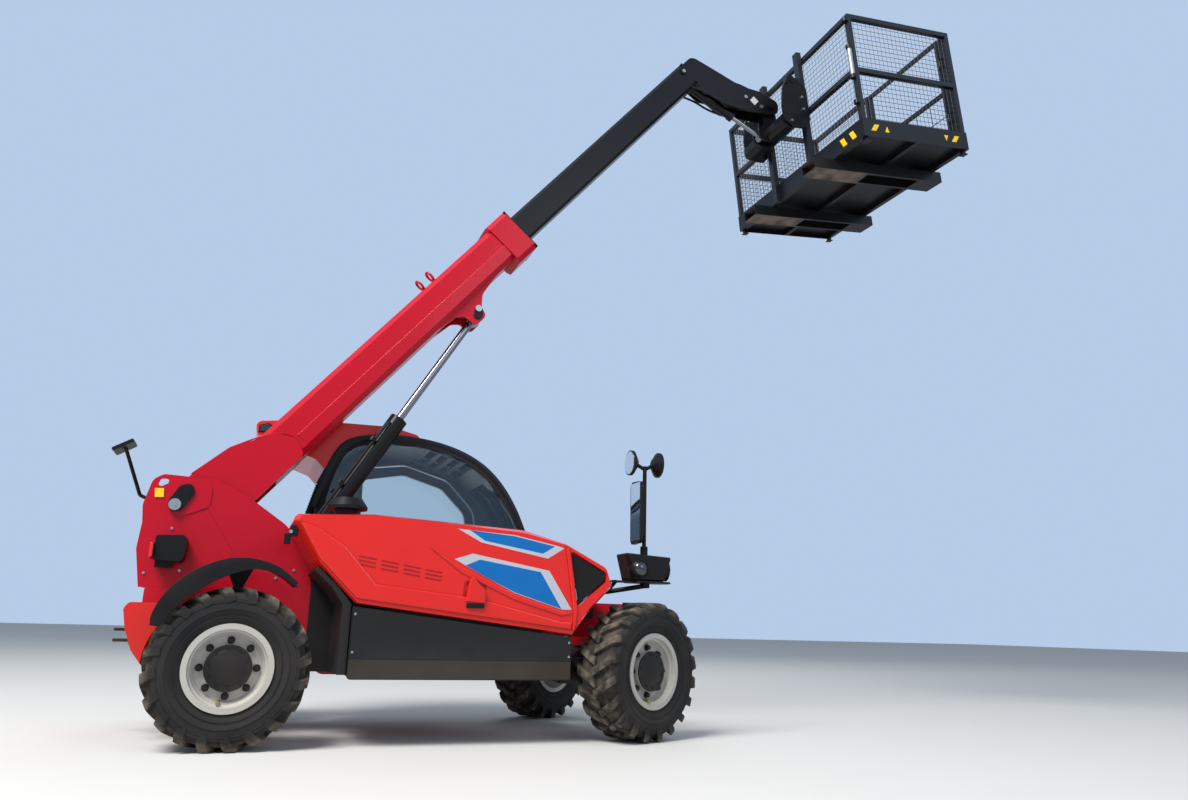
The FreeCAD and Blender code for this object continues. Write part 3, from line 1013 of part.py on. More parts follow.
def build_cab():
    y0, y1 = size["cab_inner_y"], size["cab_outer_y"]
    f = size["cab_frame"]
    top = size["cab_roof_z"]
    # Outer side outline of the cab, (ahead of the rear axle, above the ground, corner radius).
    side = [(ahead(420), 540, 40), (ahead(400), 1380, 40), (ahead(500), 1760, 60),
            (ahead(640), 1880, 120),
            (ahead(1080), 1905, 200), (ahead(1470), 1800, 200), (ahead(1720), 1560, 200),
            (ahead(1900), 1150, 100), (ahead(1900), 900, 40), (ahead(1700), 540, 40)]
    door_hole = [(ahead(720), 600, 40), (ahead(700), 1780, 60), (ahead(1080), 1840, 150),
                 (ahead(1420), 1745, 150), (ahead(1640), 1520, 150), (ahead(1740), 1000, 60),
                 (ahead(1600), 600, 40)]
    window = [(ahead(470), 1240, 30), (ahead(450), 1400, 30), (ahead(540), 1740, 40),
              (ahead(660), 1840, 100), (ahead(1080), 1862, 180), (ahead(1440), 1764, 180),
              (ahead(1680), 1530, 180), (ahead(1830), 1240, 40)]
    shell = side_slab(side, y0, y1)
    hollow = side_slab(shrunk(side, 50), y0 + f, y1 - f)
    shell = shell.cut(hollow)
    shell = shell.cut(side_slab(window, y0 - 1, y0 + f + 1))
    shell = shell.cut(side_slab(door_hole, y1 - f - 1, y1 + 1))
    windscreen = box(ahead(1560), ahead(2000), y0 + f, y1 - f, 1160, 1720)
    rear_window = box(ahead(300), ahead(540), y0 + f, y1 - f, 1240, 1700)
    roof_window = box(ahead(1120), ahead(1460), y0 + f + 20, y1 - f - 20, 1700, 2000)
    # The right wall stands over the frame's left side plate.
    rail_room = box(ahead(300), ahead(2000), y0 - 1, BOOM_Y + size["tower_half_gap"]
                    + size["tower_plate"] + FIT, 500, size["rail_top"] + FIT)
    shell = shell.cut(fused([windscreen, rear_window, roof_window])).cut(rail_room)
    roof = side_slab([(ahead(0), 1830, 20), (ahead(-20), 1920, 40), (ahead(300), top, 100),
                      (ahead(860), top + 10, 100), (ahead(1060), 1925, 60), (ahead(1060), 1860, 0),
                      (ahead(660), 1830, 0), (ahead(540), 1740, 0), (ahead(440), 1640, 0),
                      (ahead(380), 1700, 0)],
                     y0 + 4, y1 - 4)
    core = side_slab([(ahead(30), 1842, 10), (ahead(10), 1905, 20), (ahead(300), top - 18, 60),
                      (ahead(820), top - 10, 60), (ahead(640), 1884, 0), (ahead(480), 1810, 0),
                      (ahead(390), 1738, 0)], y0 + 22, y1 - 22)
    feature("cab_roof", roof.cut(core).cut(side_slab(side, y0 - 5, y1 + 5)))
    # Fixed panes: the right side, and slices of the cab's own curve for windscreen, rear and roof.
    panes = [side_slab(shrunk(window, 2), y0 + 12, y0 + 12 + size["glass"])]
    for hole in (windscreen, rear_window, roof_window):
        room = hole.BoundBox
        inside = box(room.XMin + FIT, room.XMax - FIT, room.YMin + FIT, room.YMax - FIT, room.ZMin + FIT,
                     room.ZMax - FIT)
        curve = side_slab(shrunk(side, 12), y0 + f,
                          y1 - f).cut(side_slab(shrunk(side, 12 + size["glass"]), y0, y1))
        panes.append(curve.common(inside))
    feature("cab_glass", Part.makeCompound(panes))
    # Door with its window, on the outer side.
    door = side_slab(shrunk(door_hole, 12), y1 - f, y1 - 4)
    door_window = [(ahead(790), 1010, 40), (ahead(780), 1700, 40), (ahead(1080), 1760, 120),
                   (ahead(1380), 1675, 120), (ahead(1570), 1490, 120), (ahead(1640), 1010, 40)]
    hinge_x, hinge_y = ahead(690), y1 + 15
    rings = []
    pins = []
    for z in (800, 1560):
        rings.append(rod((hinge_x, hinge_y, z), (hinge_x, hinge_y, z + 50), 14))
        rings.append(box(hinge_x + 4, hinge_x + 90, y1 + FIT, hinge_y + 10, z, z + 50))
        rings.append(box(hinge_x + 70, hinge_x + 90, y1 - 5, y1 + 1, z, z + 50))
        pins.append(rod((hinge_x, hinge_y, z - 10), (hinge_x, hinge_y, z + 60), 7))
        for z0 in (z - 10 - FIT, z + 50 + FIT):
            pins.append(box(hinge_x - 60, hinge_x - 6, y1 - 4, hinge_y + 10, z0, z0 + 10))
            pins.append(rod((hinge_x, hinge_y, z0), (hinge_x, hinge_y, z0 + 10), 14))
    pin_room = rod((hinge_x, hinge_y, 700), (hinge_x, hinge_y, 1700), 7 + FIT)
    feature("cab_door", fused([door.cut(side_slab(door_window, y1 - f - 1,
                                                  y1 + 1))] + rings).cut(pin_room))
    rooms = tyre_room(X_REAR, 1, -34.5, 34.5) + guard_room(1) + tyre_room(X_FRONT, 1, -26, 38)
    feature("cab_frame", fused([cleared(shell, rooms)] + pins))
    feature("door_glass", side_slab(shrunk(door_window, 1), y1 - 30, y1 - 30 + size["glass"]))
    # The driver's chair and steering column.
    mid = (y0 + y1) / 2.0
    cushion = box(ahead(640), ahead(1100), mid - 220, mid + 220, 900, 1000)
    back = side_slab([(ahead(600), 1000, 0), (ahead(560), 1500, 60), (ahead(650), 1500, 60),
                      (ahead(700), 1000, 0)], mid - 210, mid + 210)
    base = box(ahead(660), ahead(1060), mid - 180, mid + 180, 560, 900).cut(shell)
    feature("seat", fused([cushion, back, base]))
    column = rod((ahead(1614), mid, 560), (ahead(1420), mid, 1120), 40).cut(shell)
    wheel = Part.makeTorus(170, 14, Vector(ahead(1410), mid, 1150), Vector(-0.33, 0, 0.94))
    spokes = fused([rod((ahead(1410), mid - 168, 1150), (ahead(1410), mid + 168, 1150), 10)])
    hub = rod((ahead(1424), mid, 1108), (ahead(1406), mid, 1160), 34)
    feature("steering_column", fused([column, wheel, spokes, hub]))


# Mudguards, lamps and mirrors

def build_trim():
    plate = size["tower_half_gap"] + size["tower_plate"]
    right, left = BOOM_Y - plate, BOOM_Y + plate
    # Rear lamps: a shade with the lamp at its rear edge and a sensor box under it.
    shade = [(ahead(-452), 966, 12), (ahead(-462), 1102, 16), (ahead(-299), 1110, 24),
             (ahead(-309), 960, 30)]
    lamps = []
    for y0, y1 in ((right - 205, right - FIT), (left + FIT, left + 205)):
        lamps.append(fused([side_slab(shade, y0, y1),
                            box(ahead(-476), ahead(-450), y0 + 12, y1 - 12, 974, 1062),
                            box(ahead(-454), ahead(-362), y0 + 70, y1 - 70, 929, 968)]))
    feature("rear_lamps", Part.makeCompound(lamps))
    # Front lamp: a flat band from the frame to a paddle-shaped plate, with a strut under it.
    plate_z = size["lamp_plate_z"]
    band = box(ahead(2165), ahead(2330), -790, -700, plate_z - 10, plate_z)
    paddle = Part.makeCylinder(100, 10, Vector(ahead(2470), -745, plate_z - 10))
    paddle = paddle.fuse(box(ahead(2300), ahead(2470), -845, -645, plate_z - 10, plate_z))
    elbow = (ahead(2200), -600, 884)
    strut = fused([box(ahead(2380), ahead(2420), -775, -715, plate_z - 40, plate_z - 9),
                   rod((ahead(2400), -745, plate_z - 26), elbow, 15), Part.makeSphere(15, Vector(*elbow)),
                   rod(elbow, (ahead(2200), right - 6, 884), 15),
                   rod((ahead(2200), -745, plate_z - 6), elbow, 12),
                   box(ahead(2160), ahead(2240), right - 12, right - FIT, 720, 904)])
    feature("front_lamp_arm", fused([band, paddle, strut]))
    hood = [(ahead(2232), 1120, 10), (ahead(2548), 1104, 10), (ahead(2500), plate_z + FIT, 20),
            (ahead(2276), plate_z + FIT, 20)]
    shell = tapered_slab(hood, 16, -850, -820).fuse(side_slab(hood, -820, -670)).removeSplitter()
    shell = shell.cut(box(ahead(2490), ahead(2560), -826, -664, 972, 1086))
    lens = Part.makeCone(58, 66, 40, Vector(ahead(2480), -745, 1028), Vector(1, 0, 0))
    bowl = Part.makeSphere(64, Vector(ahead(2318), -822, 1022)).common(box(ahead(2200), ahead(2400), -880,
                                                                           -800, 960, 1090))
    feature("headlamps", fused([shell, lens, bowl]))
    # Mirrors over the lamp: a tall one and two round ones; and one behind the cab.
    post_x, post_y = ahead(2392), -745
    post = [rod((post_x, post_y, 1114), (post_x, post_y, 1690), 13),
            rod((post_x, post_y, 1114), (post_x, post_y, 1170), 24)]
    tall = front_slab([(-832, 1190, 40), (-836, 1580, 40), (-662, 1590, 40), (-668, 1180, 40)],
                      ahead(2328), ahead(2350))
    back = front_slab([(-806, 1222, 40), (-810, 1552, 40), (-688, 1558, 40), (-694, 1216, 40)],
                      ahead(2350), ahead(2376))
    clamps = [box(ahead(2366), post_x, post_y - 16, post_y + 16, z, z + 34) for z in (1280, 1470)]
    rounds = []
    for x0, way in ((2300, -1), (2478, 1)):
        face_x = ahead(x0)
        rounds.append(Part.makeCylinder(82, 16, Vector(face_x, post_y, 1706), Vector(way, 0, 0)))
        rounds.append(Part.makeCone(82, 34, 34, Vector(face_x, post_y, 1706), Vector(-way, 0, 0)))
        rounds.append(rod((face_x - way * 30, post_y, 1700), (post_x, post_y, 1670), 12))
    stalk = [rod((ahead(-500), left + FIT, 1330), (ahead(-500), left + 40, 1330), 18),
             rod((ahead(-500), left + 30, 1330), (ahead(-640), left + 26, 1390), 11),
             rod((ahead(-640), left + 26, 1390), (ahead(-745), 60, 1662), 11)]
    head = side_slab([(ahead(-800), 1620, 10), (ahead(-690), 1690, 10), (ahead(-700), 1710, 10),
                      (ahead(-812), 1640, 10)], -30, 150)
    feature("mirrors", Part.makeCompound([fused(post + [tall, back] + clamps + rounds),
                                          fused(stalk + [head])]))


build_running_gear()
build_chassis()
build_boom()
build_inner_boom()
build_cylinders()
build_carriage()
build_basket()
build_hood()
build_cab()
build_trim()

doc.recompute()

# Every object has to be sound before anything is written.
for item in doc.Objects:
    if any(word in state for state in item.State for word in ("Invalid", "Error")):
        raise RuntimeError("%s did not build: %s" % (item.Label, item.State))
broken = [item.Label for item in finished if item.Shape.isNull() or not item.Shape.isValid()]
if broken:
    raise RuntimeError("no valid shape: " + ", ".join(broken))

os.makedirs("parts", exist_ok=True)
box_all = FreeCAD.BoundBox()
for item in finished:
    item.Shape.exportStep(os.path.join("parts", item.Label + ".step"))
    box_all.add(item.Shape.BoundBox)
    print("%-24s solids %2d  faces %4d  volume %.4f m3" % (
        item.Label, len(item.Shape.Solids), len(item.Shape.Faces), item.Shape.Volume / 1e9))
print("nodes", len(finished))
print("box", [round(v, 1) for v in (box_all.XMin, box_all.YMin, box_all.ZMin, box_all.XMax,
                                    box_all.YMax, box_all.ZMax)])
print("carriage pin", CARRIAGE_PIN, "pivot", PIVOT)
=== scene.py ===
# %% [markdown]
# # Compact telehandler with a man basket
# The imported part is the whole machine in CAD, and it stays as it is. This script paints it and dresses it
# with the pieces that are too small for CAD. The part is loaded first, before anything is added.

import json
import math

import bpy
import bmesh
from mathutils import Matrix, Vector


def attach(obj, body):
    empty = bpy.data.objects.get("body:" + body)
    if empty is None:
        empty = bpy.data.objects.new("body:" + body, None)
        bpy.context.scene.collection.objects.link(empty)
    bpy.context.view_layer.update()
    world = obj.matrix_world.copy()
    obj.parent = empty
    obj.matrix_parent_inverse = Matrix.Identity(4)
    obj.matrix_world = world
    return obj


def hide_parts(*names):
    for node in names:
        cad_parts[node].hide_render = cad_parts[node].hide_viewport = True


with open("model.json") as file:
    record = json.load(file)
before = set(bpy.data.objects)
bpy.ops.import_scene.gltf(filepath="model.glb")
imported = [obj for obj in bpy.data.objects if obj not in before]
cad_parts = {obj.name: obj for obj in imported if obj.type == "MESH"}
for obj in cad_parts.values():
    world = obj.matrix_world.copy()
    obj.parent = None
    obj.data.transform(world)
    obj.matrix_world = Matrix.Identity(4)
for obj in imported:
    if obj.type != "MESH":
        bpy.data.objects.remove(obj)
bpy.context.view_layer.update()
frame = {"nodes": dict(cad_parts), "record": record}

REAR_AXLE = -2.206
BOOM_Y = -0.05
SIDES = (("right", -1), ("left", 1))


def ahead(x):
    """Row X of a point given as its distance ahead of the rear axle."""
    return REAR_AXLE + x


# %% [markdown]
# ## Node helpers
# A material is a graph of nodes, and in code each node takes a line to make it and more to fill and link
# its sockets. One helper does all of that from a table of inputs. It could be left out, but then the graph
# would be hard to see between the lines.

# %% Node helpers
def add_node(tree, kind, inputs=None, **settings):
    """Add a node. An input given as a socket is linked; any other value is set on its own socket."""
    node = tree.nodes.new("ShaderNode" + kind)
    for setting, value in settings.items():
        setattr(node, setting, value)
    for label, value in (inputs or {}).items():
        if isinstance(value, bpy.types.NodeSocket):
            tree.links.new(value, node.inputs[label])
        else:
            node.inputs[label].default_value = value
    return node


def calculate(tree, operation, *values, **settings):
    """Result of a Math node."""
    return add_node(tree, "Math", dict(enumerate(values)), operation=operation, **settings).outputs[0]


def calculate_vector(tree, operation, *values, result=0):
    """Result of a Vector Math node."""
    return add_node(tree, "VectorMath", dict(enumerate(values)), operation=operation).outputs[result]


def ramp(tree, value, low, high, bottom=0.0, top=1.0):
    """A value that goes from bottom at low to top at high, and no further."""
    return add_node(tree, "MapRange", {"Value": value, "From Min": low, "From Max": high, "To Min": bottom,
                                       "To Max": top}).outputs["Result"]


def noise(tree, coords, scale, detail):
    """Cloudy values about 0.5, with scale clouds to the metre."""
    return add_node(tree, "TexNoise", {"Vector": coords, "Scale": scale, "Detail": detail}).outputs["Fac"]


def mix_colors(tree, share, first, second):
    """The first colour where share is 0, the second where it is 1."""
    mix = add_node(tree, "Mix", {"Factor": share, "A": first, "B": second}, data_type="RGBA")
    return mix.outputs["Result"]


def split(tree, vector, axis):
    """One of a vector's three values."""
    return add_node(tree, "SeparateXYZ", {0: vector}).outputs[axis]


# %% [markdown]
# ## Wear
# A machine that works outdoors is never one even colour: dust settles low down, and its paint varies a
# little. Every finish could carry its own nodes for that, but one shared group keeps them alike, and it
# takes each finish's own colour and amounts. It reads Object coordinates, which are metres on every piece.

# %% Shared group: mottled colour, dust from below, and the roughness and bump that go with them
def new_group(name, inputs, outputs):
    """An empty shader group; inputs are (name, kind, default), outputs are (name, kind)."""
    group = bpy.data.node_groups.new(name, "ShaderNodeTree")
    for label, kind, default in inputs:
        socket = group.interface.new_socket(name=label, in_out="INPUT", socket_type="NodeSocket" + kind)
        socket.default_value = default
    for label, kind in outputs:
        group.interface.new_socket(name=label, in_out="OUTPUT", socket_type="NodeSocket" + kind)
    return group, group.nodes.new("NodeGroupInput").outputs, group.nodes.new("NodeGroupOutput").inputs


DUST_ROUGHNESS = 0.35
BUMP_HEIGHT = 0.002


def make_wear_group():
    """Colour mottled by noise and dusted from below; roughness and bump go with it."""
    group, given, result = new_group(
        "Wear",
        [("Color", "Color", (0.5, 0.5, 0.5, 1)), ("Dust Color", "Color", (0.35, 0.3, 0.24, 1)),
         ("Dust", "Float", 0.2), ("Dust Top", "Float", 0.9), ("Roughness", "Float", 0.4),
         ("Mottle", "Float", 0.1), ("Bump", "Float", 0.02)],
        [("Color", "Color"), ("Roughness", "Float"), ("Normal", "Vector")])
    coords = add_node(group, "TexCoord").outputs["Object"]
    fine = noise(group, coords, 60, 6)
    broad = noise(group, coords, 3.5, 8)
    # The dust fades out with the height above the ground, and lies in patches.
    fade = ramp(group, split(group, coords, "Z"), 0.0, given["Dust Top"], 1.0, 0.0)
    patches = calculate(group, "MULTIPLY", fade, ramp(group, broad, 0.35, 0.7))
    dusty = calculate(group, "MULTIPLY", patches, given["Dust"], use_clamp=True)
    # The broad noise brightens and darkens the colour a little.
    bright = calculate(group, "MULTIPLY_ADD", ramp(group, broad, 0.0, 1.0, -1.0, 1.0), given["Mottle"], 1.0)
    tint = add_node(group, "VectorMath", {0: given["Color"], "Scale": bright}, operation="SCALE").outputs[0]
    rough = calculate(group, "MULTIPLY_ADD", dusty, DUST_ROUGHNESS, given["Roughness"], use_clamp=True)
    bump = add_node(group, "Bump", {"Distance": BUMP_HEIGHT, "Strength": given["Bump"], "Height": fine})
    group.links.new(mix_colors(group, dusty, tint, given["Dust Color"]), result["Color"])
    group.links.new(rough, result["Roughness"])
    group.links.new(bump.outputs["Normal"], result["Normal"])
    return group


WEAR = make_wear_group()
print("group", WEAR.name, "with", len(WEAR.nodes), "nodes")

# %% [markdown]
# ## Finishes
# The machine has a handful of finishes: glossy red paint, black paint, raw moulded plastic, chromed rod,
# rubber and glass. Each is one Principled shader fed by the shared group, with its own colour, roughness
# and dust. The numbers that are the same all over a surface sit on the shader's own sockets.

# %% A finish, and a second colour laid over it
COAT_ROUGHNESS = 0.12


def finish(name, color, rough=0.4, metal=0.0, coat=0.0, dust=0.15, dust_top=1.0, mottle=0.06, bump=0.05,
           dust_color=(0.30, 0.25, 0.19), shine=0.35):
    """A painted, plastic or metal finish."""
    material = bpy.data.materials.new(name)
    material.use_nodes = True
    tree = material.node_tree
    wear = add_node(tree, "Group", {
        "Color": (*color, 1), "Dust Color": (*dust_color, 1), "Dust": dust, "Dust Top": dust_top,
        "Roughness": rough, "Mottle": mottle, "Bump": bump}, node_tree=WEAR)
    shader = tree.nodes["Principled BSDF"].inputs
    for given, taken in (("Color", "Base Color"), ("Roughness", "Roughness"), ("Normal", "Normal")):
        tree.links.new(wear.outputs[given], shader[taken])
    shader["Metallic"].default_value = metal
    shader["Coat Weight"].default_value = coat
    shader["Coat Roughness"].default_value = COAT_ROUGHNESS
    shader["Specular IOR Level"].default_value = shine
    material.diffuse_color = (*color, 1)
    return material


def blend_in(material, mask, color):
    """Lay a second colour over a finish's own one where a node's mask says so."""
    tree = material.node_tree
    base = tree.nodes["Principled BSDF"].inputs["Base Color"]
    tree.links.new(mix_colors(tree, mask, base.links[0].from_socket, (*color, 1)), base)


# %% [markdown]
# ## Paints, plastics and metals
# The colours are set against the photograph, in linear light. One row for each finish keeps them next to each
# other, so that a pair such as hood and film can be matched. Blacks are kept very dark, because the lamps and
# the pale floor lift them.

# %% Paints, plastics and metals
RED = finish("Red paint", (0.43, 0.0016, 0.014), rough=0.32, coat=0.14, dust=0.1, dust_top=0.8, shine=0.22)
HOOD_RED = finish("Hood red", (0.64, 0.012, 0.006), rough=0.22, coat=0.4, dust=0.05, dust_top=0.9, shine=0.3)
BLACK = finish("Black paint", (0.0045, 0.0045, 0.0055), rough=0.36, coat=0.06, dust=0.06, shine=0.22)
FRAME_BLACK = finish("Frame black", (0.008, 0.008, 0.009), rough=0.6, dust=0.35, dust_top=0.9, shine=0.22)
BASKET_GREY = finish("Basket paint", (0.010, 0.012, 0.017), rough=0.34, dust=0.0, shine=0.35)
BASKET_BLACK = finish("Basket black", (0.006, 0.006, 0.008), rough=0.4, dust=0.0, shine=0.3)
PLASTIC = finish("Black plastic", (0.0055, 0.005, 0.0055), rough=0.42, dust=0.08, bump=0.12, shine=0.2)
SKIRT = finish("Side panel plastic", (0.009, 0.0095, 0.0095), rough=0.45, dust=0.9, dust_top=0.62, bump=0.1,
               dust_color=(0.06, 0.05, 0.04), shine=0.25)
RIM_GREY = finish("Rim paint", (0.44, 0.43, 0.40), rough=0.45, dust=0.3, dust_top=0.9)
HUB_BLACK = finish("Hub black", (0.008, 0.007, 0.008), rough=0.42, dust=0.3, mottle=0.3, shine=0.2,
                   dust_color=(0.10, 0.085, 0.07))
CHROME = finish("Chromed rod", (0.27, 0.27, 0.30), rough=0.24, metal=1.0, dust=0.0, mottle=0.03, bump=0.0)
STEEL = finish("Pin steel", (0.42, 0.42, 0.43), rough=0.34, metal=1.0, dust=0.1)
GALVANISED = finish("Galvanised", (0.36, 0.37, 0.36), rough=0.45, metal=0.85, dust=0.0, mottle=0.25)
CHAIR = finish("Chair cover", (0.018, 0.018, 0.021), rough=0.62, dust=0.0, bump=0.6, mottle=0.15)
LENS = finish("Lamp lens", (0.55, 0.58, 0.6), rough=0.08, coat=0.8, dust=0.0)
RED_LENS = finish("Tail lens", (0.62, 0.01, 0.006), rough=0.15, coat=0.8, dust=0.0)
BLUE = finish("Blue film", (0.0, 0.125, 0.41), rough=0.36, coat=0.12, dust=0.05, shine=0.25)
SILVER = finish("Silver film", (0.50, 0.51, 0.57), rough=0.32, metal=0.25, dust=0.05)
YELLOW = finish("Yellow film", (0.80, 0.53, 0.01), rough=0.4, dust=0.0)
LABEL = finish("Blank label", (0.5, 0.5, 0.5), rough=0.4, dust=0.0)
SEAL = finish("Rubber seal", (0.006, 0.006, 0.007), rough=0.7, dust=0.05)
LINER = finish("Cab lining", (0.055, 0.057, 0.062), rough=0.75, dust=0.0, bump=0.3)
MIRROR = finish("Mirror glass", (0.75, 0.78, 0.8), rough=0.03, metal=1.0, dust=0.0, mottle=0.0, bump=0.0)
GLOSS_BLACK = finish("Dark glass", (0.006, 0.007, 0.010), rough=0.06, coat=0.9, dust=0.0, bump=0.0, shine=0.6)
SKIRT_LOW = finish("Dusty lower panel", (0.034, 0.028, 0.023), rough=0.6, dust=0.6, dust_top=0.6, bump=0.1,
                   dust_color=(0.10, 0.085, 0.065), shine=0.2)
# Pale blue-grey of the blocks under the roof: painted sky light seen through the roof's slots.
SLOT_SKY_LIGHT = finish("Painted sky light in roof slots", (0.30, 0.36, 0.38), rough=0.4, dust=0.0)
BRASS = finish("Valve brass", (0.35, 0.27, 0.12), rough=0.4, metal=0.9, dust=0.2)
print(len(bpy.data.materials), "plain finishes")

# %% [markdown]
# ## Glass, tyres, cab and pockets
# Four finishes change over the piece in a way of their own. A thin pane lets light straight through and
# reflects more towards its edge, which a transparent and a glossy shader mixed by Fresnel give without the
# bending of a solid block. A tyre is dusty on its tread, so a mask reads the distance from its own axle.
# The cab is black outside and grey inside, told apart by which way a face looks. The fork pockets are worn
# to brown steel below their rear ends.

# %% Finishes that change over the piece
TREAD_FROM, TREAD_TO = 0.362, 0.406


def clear_glass(name, tint):
    """Thin pane: mostly transparent, with a glossy reflection that grows towards the edge."""
    material = bpy.data.materials.new(name)
    material.use_nodes = True
    tree = material.node_tree
    tree.nodes.remove(tree.nodes["Principled BSDF"])
    through = add_node(tree, "BsdfTransparent", {"Color": (*tint, 1)})
    gloss = add_node(tree, "BsdfGlossy", {"Roughness": 0.03, "Color": (0.75, 0.85, 0.95, 1)})
    fresnel = add_node(tree, "Fresnel", {"IOR": 1.5})
    mix = add_node(tree, "MixShader", {0: fresnel.outputs[0], 1: through.outputs[0], 2: gloss.outputs[0]})
    tree.links.new(mix.outputs[0], tree.nodes["Material Output"].inputs["Surface"])
    material.diffuse_color = (*tint, 0.3)
    return material


def tyre_rubber(name, centre, axle):
    """Dark rubber whose tread, far from the wheel's own axle line, is dusty."""
    material = finish(name, (0.013, 0.013, 0.014), rough=0.82, dust=0.35, dust_top=2.5, bump=0.5, mottle=0.25,
                      dust_color=(0.07, 0.06, 0.05), shine=0.3)
    tree = material.node_tree
    coords = add_node(tree, "TexCoord").outputs["Object"]
    away = calculate_vector(tree, "SUBTRACT", coords, centre)
    across = calculate_vector(tree, "CROSS_PRODUCT", away, axle)
    reach = calculate_vector(tree, "LENGTH", across, result="Value")
    tread = ramp(tree, reach, TREAD_FROM, TREAD_TO)
    patches = ramp(tree, noise(tree, coords, 14, 7), 0.38, 0.62, top=0.85)
    blend_in(material, calculate(tree, "MULTIPLY", tread, patches), (0.17, 0.14, 0.105))
    return material


def cab_paint(centre):
    """Black outside; grey lining on every face that looks at the middle of the cab."""
    material = finish("Cab frame paint", (0.0045, 0.0045, 0.0055), rough=0.34, coat=0.15, dust=0.05,
                      shine=0.25)
    tree = material.node_tree
    coords = add_node(tree, "TexCoord").outputs
    inward = calculate_vector(tree, "SUBTRACT", centre, coords["Object"])
    facing = calculate_vector(tree, "DOT_PRODUCT", coords["Normal"], inward, result="Value")
    blend_in(material, ramp(tree, facing, 0.22, 0.26), (0.12, 0.14, 0.16))
    return material


def pocket_steel():
    """Black paint worn to brown steel on the undersides of the pockets' rear ends."""
    material = finish("Worn pocket steel", (0.006, 0.006, 0.007), rough=0.45, dust=0.0, mottle=0.2, bump=0.15)
    tree = material.node_tree
    coords = add_node(tree, "TexCoord").outputs
    behind = ramp(tree, split(tree, coords["Object"], "X"), 2.34, 2.16)
    below = ramp(tree, split(tree, coords["Normal"], "Z"), -0.4, -0.8)
    patches = ramp(tree, noise(tree, coords["Object"], 9, 8), 0.30, 0.58)
    worn = calculate(tree, "MULTIPLY", calculate(tree, "MULTIPLY", behind, below), patches)
    blend_in(material, worn, (0.16, 0.105, 0.075))
    return material


CAB_Y = 0.5075
PANE = clear_glass("Cab glass", (0.90, 0.93, 0.93))
CAB_PAINT = cab_paint((ahead(1.10), CAB_Y, 1.25))
WORN_STEEL = pocket_steel()

# %% [markdown]
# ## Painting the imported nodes
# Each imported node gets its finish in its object's own material slots, and its mesh isn't touched. A table
# of finish and nodes shows at a glance what is painted alike.

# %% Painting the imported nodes
SPINS = {joint["child"]: joint for joint in frame["record"]["behaviour"]["joints"]
         if joint["name"].startswith("spin_")}

# Columns: finish, names of the nodes that it goes on.
PAINT = [
    (RED, ["boom_tower", "chassis_frame", "outer_boom"]),
    (HOOD_RED, ["hood", "counterweight", "cab_roof"]),
    (BLACK, ["boom_pivot_pin", "inner_boom", "boom_head", "carriage", "lift_cylinder_barrel",
             "tilt_cylinder_barrel"]),
    (CAB_PAINT, ["cab_frame", "cab_door"]),
    (FRAME_BLACK, ["rear_axle", "front_axle", "hood_frame", "front_lamp_arm", "battery_pack", "tow_jaw",
                   "knuckle_rear_left", "knuckle_rear_right", "knuckle_front_left", "knuckle_front_right"]),
    (BASKET_GREY, ["basket_rails", "basket_gate"]),
    (BASKET_BLACK, ["basket_floor"]),
    (WORN_STEEL, ["fork_pockets"]),
    (PLASTIC, ["breather_cap", "mudguard_rear_left", "mudguard_rear_right", "headlamps", "rear_lamps",
               "mirrors", "steering_column"]),
    (SKIRT, ["side_panel"]),
    (RIM_GREY, ["rim_rear_left", "rim_rear_right", "rim_front_left", "rim_front_right"]),
    (CHROME, ["lift_cylinder_rod", "tilt_cylinder_rod"]),
    (PANE, ["cab_glass", "door_glass"]),
]


def paint(node, material):
    """Put one material on every slot of a node's object."""
    item = frame["nodes"][node]
    if not item.material_slots:
        item.data.materials.append(material)
    for entry in item.material_slots:
        entry.link = "OBJECT"
        entry.material = material


for material, names in PAINT:
    for name in names:
        paint(name, material)
for body, spin in SPINS.items():
    paint(body.replace("wheel_", "tyre_"), tyre_rubber(body + "_rubber", spin["pos_m"], spin["axis"]))
print("painted", sum(len(names) for material, names in PAINT) + len(SPINS), "nodes")

# %% [markdown]
# ## Frames of the carrying parts
# A telehandler's pieces hang on a raised boom and a tilted basket, so their places are easiest to give
# along those. Each frame is a matrix that takes a local point to the machine's own place. Parenting to
# empties would do the same, but a matrix keeps every finished piece at the origin, as the export wants.

# %% Frames of the carrying parts
BOOM_ANGLE = math.radians(50.3)
BASKET_ANGLE = math.radians(6.3)
MACHINE = Matrix.Translation((REAR_AXLE, 0, 0))
BOOM = Matrix.Translation((ahead(-0.27), BOOM_Y, 1.41)) @ Matrix.Rotation(-BOOM_ANGLE, 4, "Y")
CARRIAGE = Matrix.Translation(BOOM @ Vector((5.445, 0, -0.797))) @ Matrix.Rotation(-BASKET_ANGLE, 4, "Y")
BASKET = CARRIAGE @ Matrix.Translation((0.218, 0.02, -0.718))
print("basket's corner at", tuple(round(value, 3) for value in BASKET.translation))


def wheel_frame(body):
    """Local frame of a wheel: +Y out of the machine."""
    spin = SPINS[body]
    side = 1 if body.endswith("left") else -1
    out = Vector(spin["axis"]) * side
    up = Vector((0, 0, 1))
    turn = Matrix((out.cross(up), out, up)).transposed().to_4x4()
    return Matrix.Translation(spin["pos_m"]) @ turn


# %% [markdown]
# ## Mesh helpers
# Most small pieces on a machine are cut plate, bent sheet, round bar or blocks. Each helper starts from one
# bmesh operator, gives it its outline or size and bevels its edges, because a real edge is never razor
# sharp and the small round catches the light. Working out lists of points and faces by hand would give the
# same shapes, but the operators keep the faces closed.

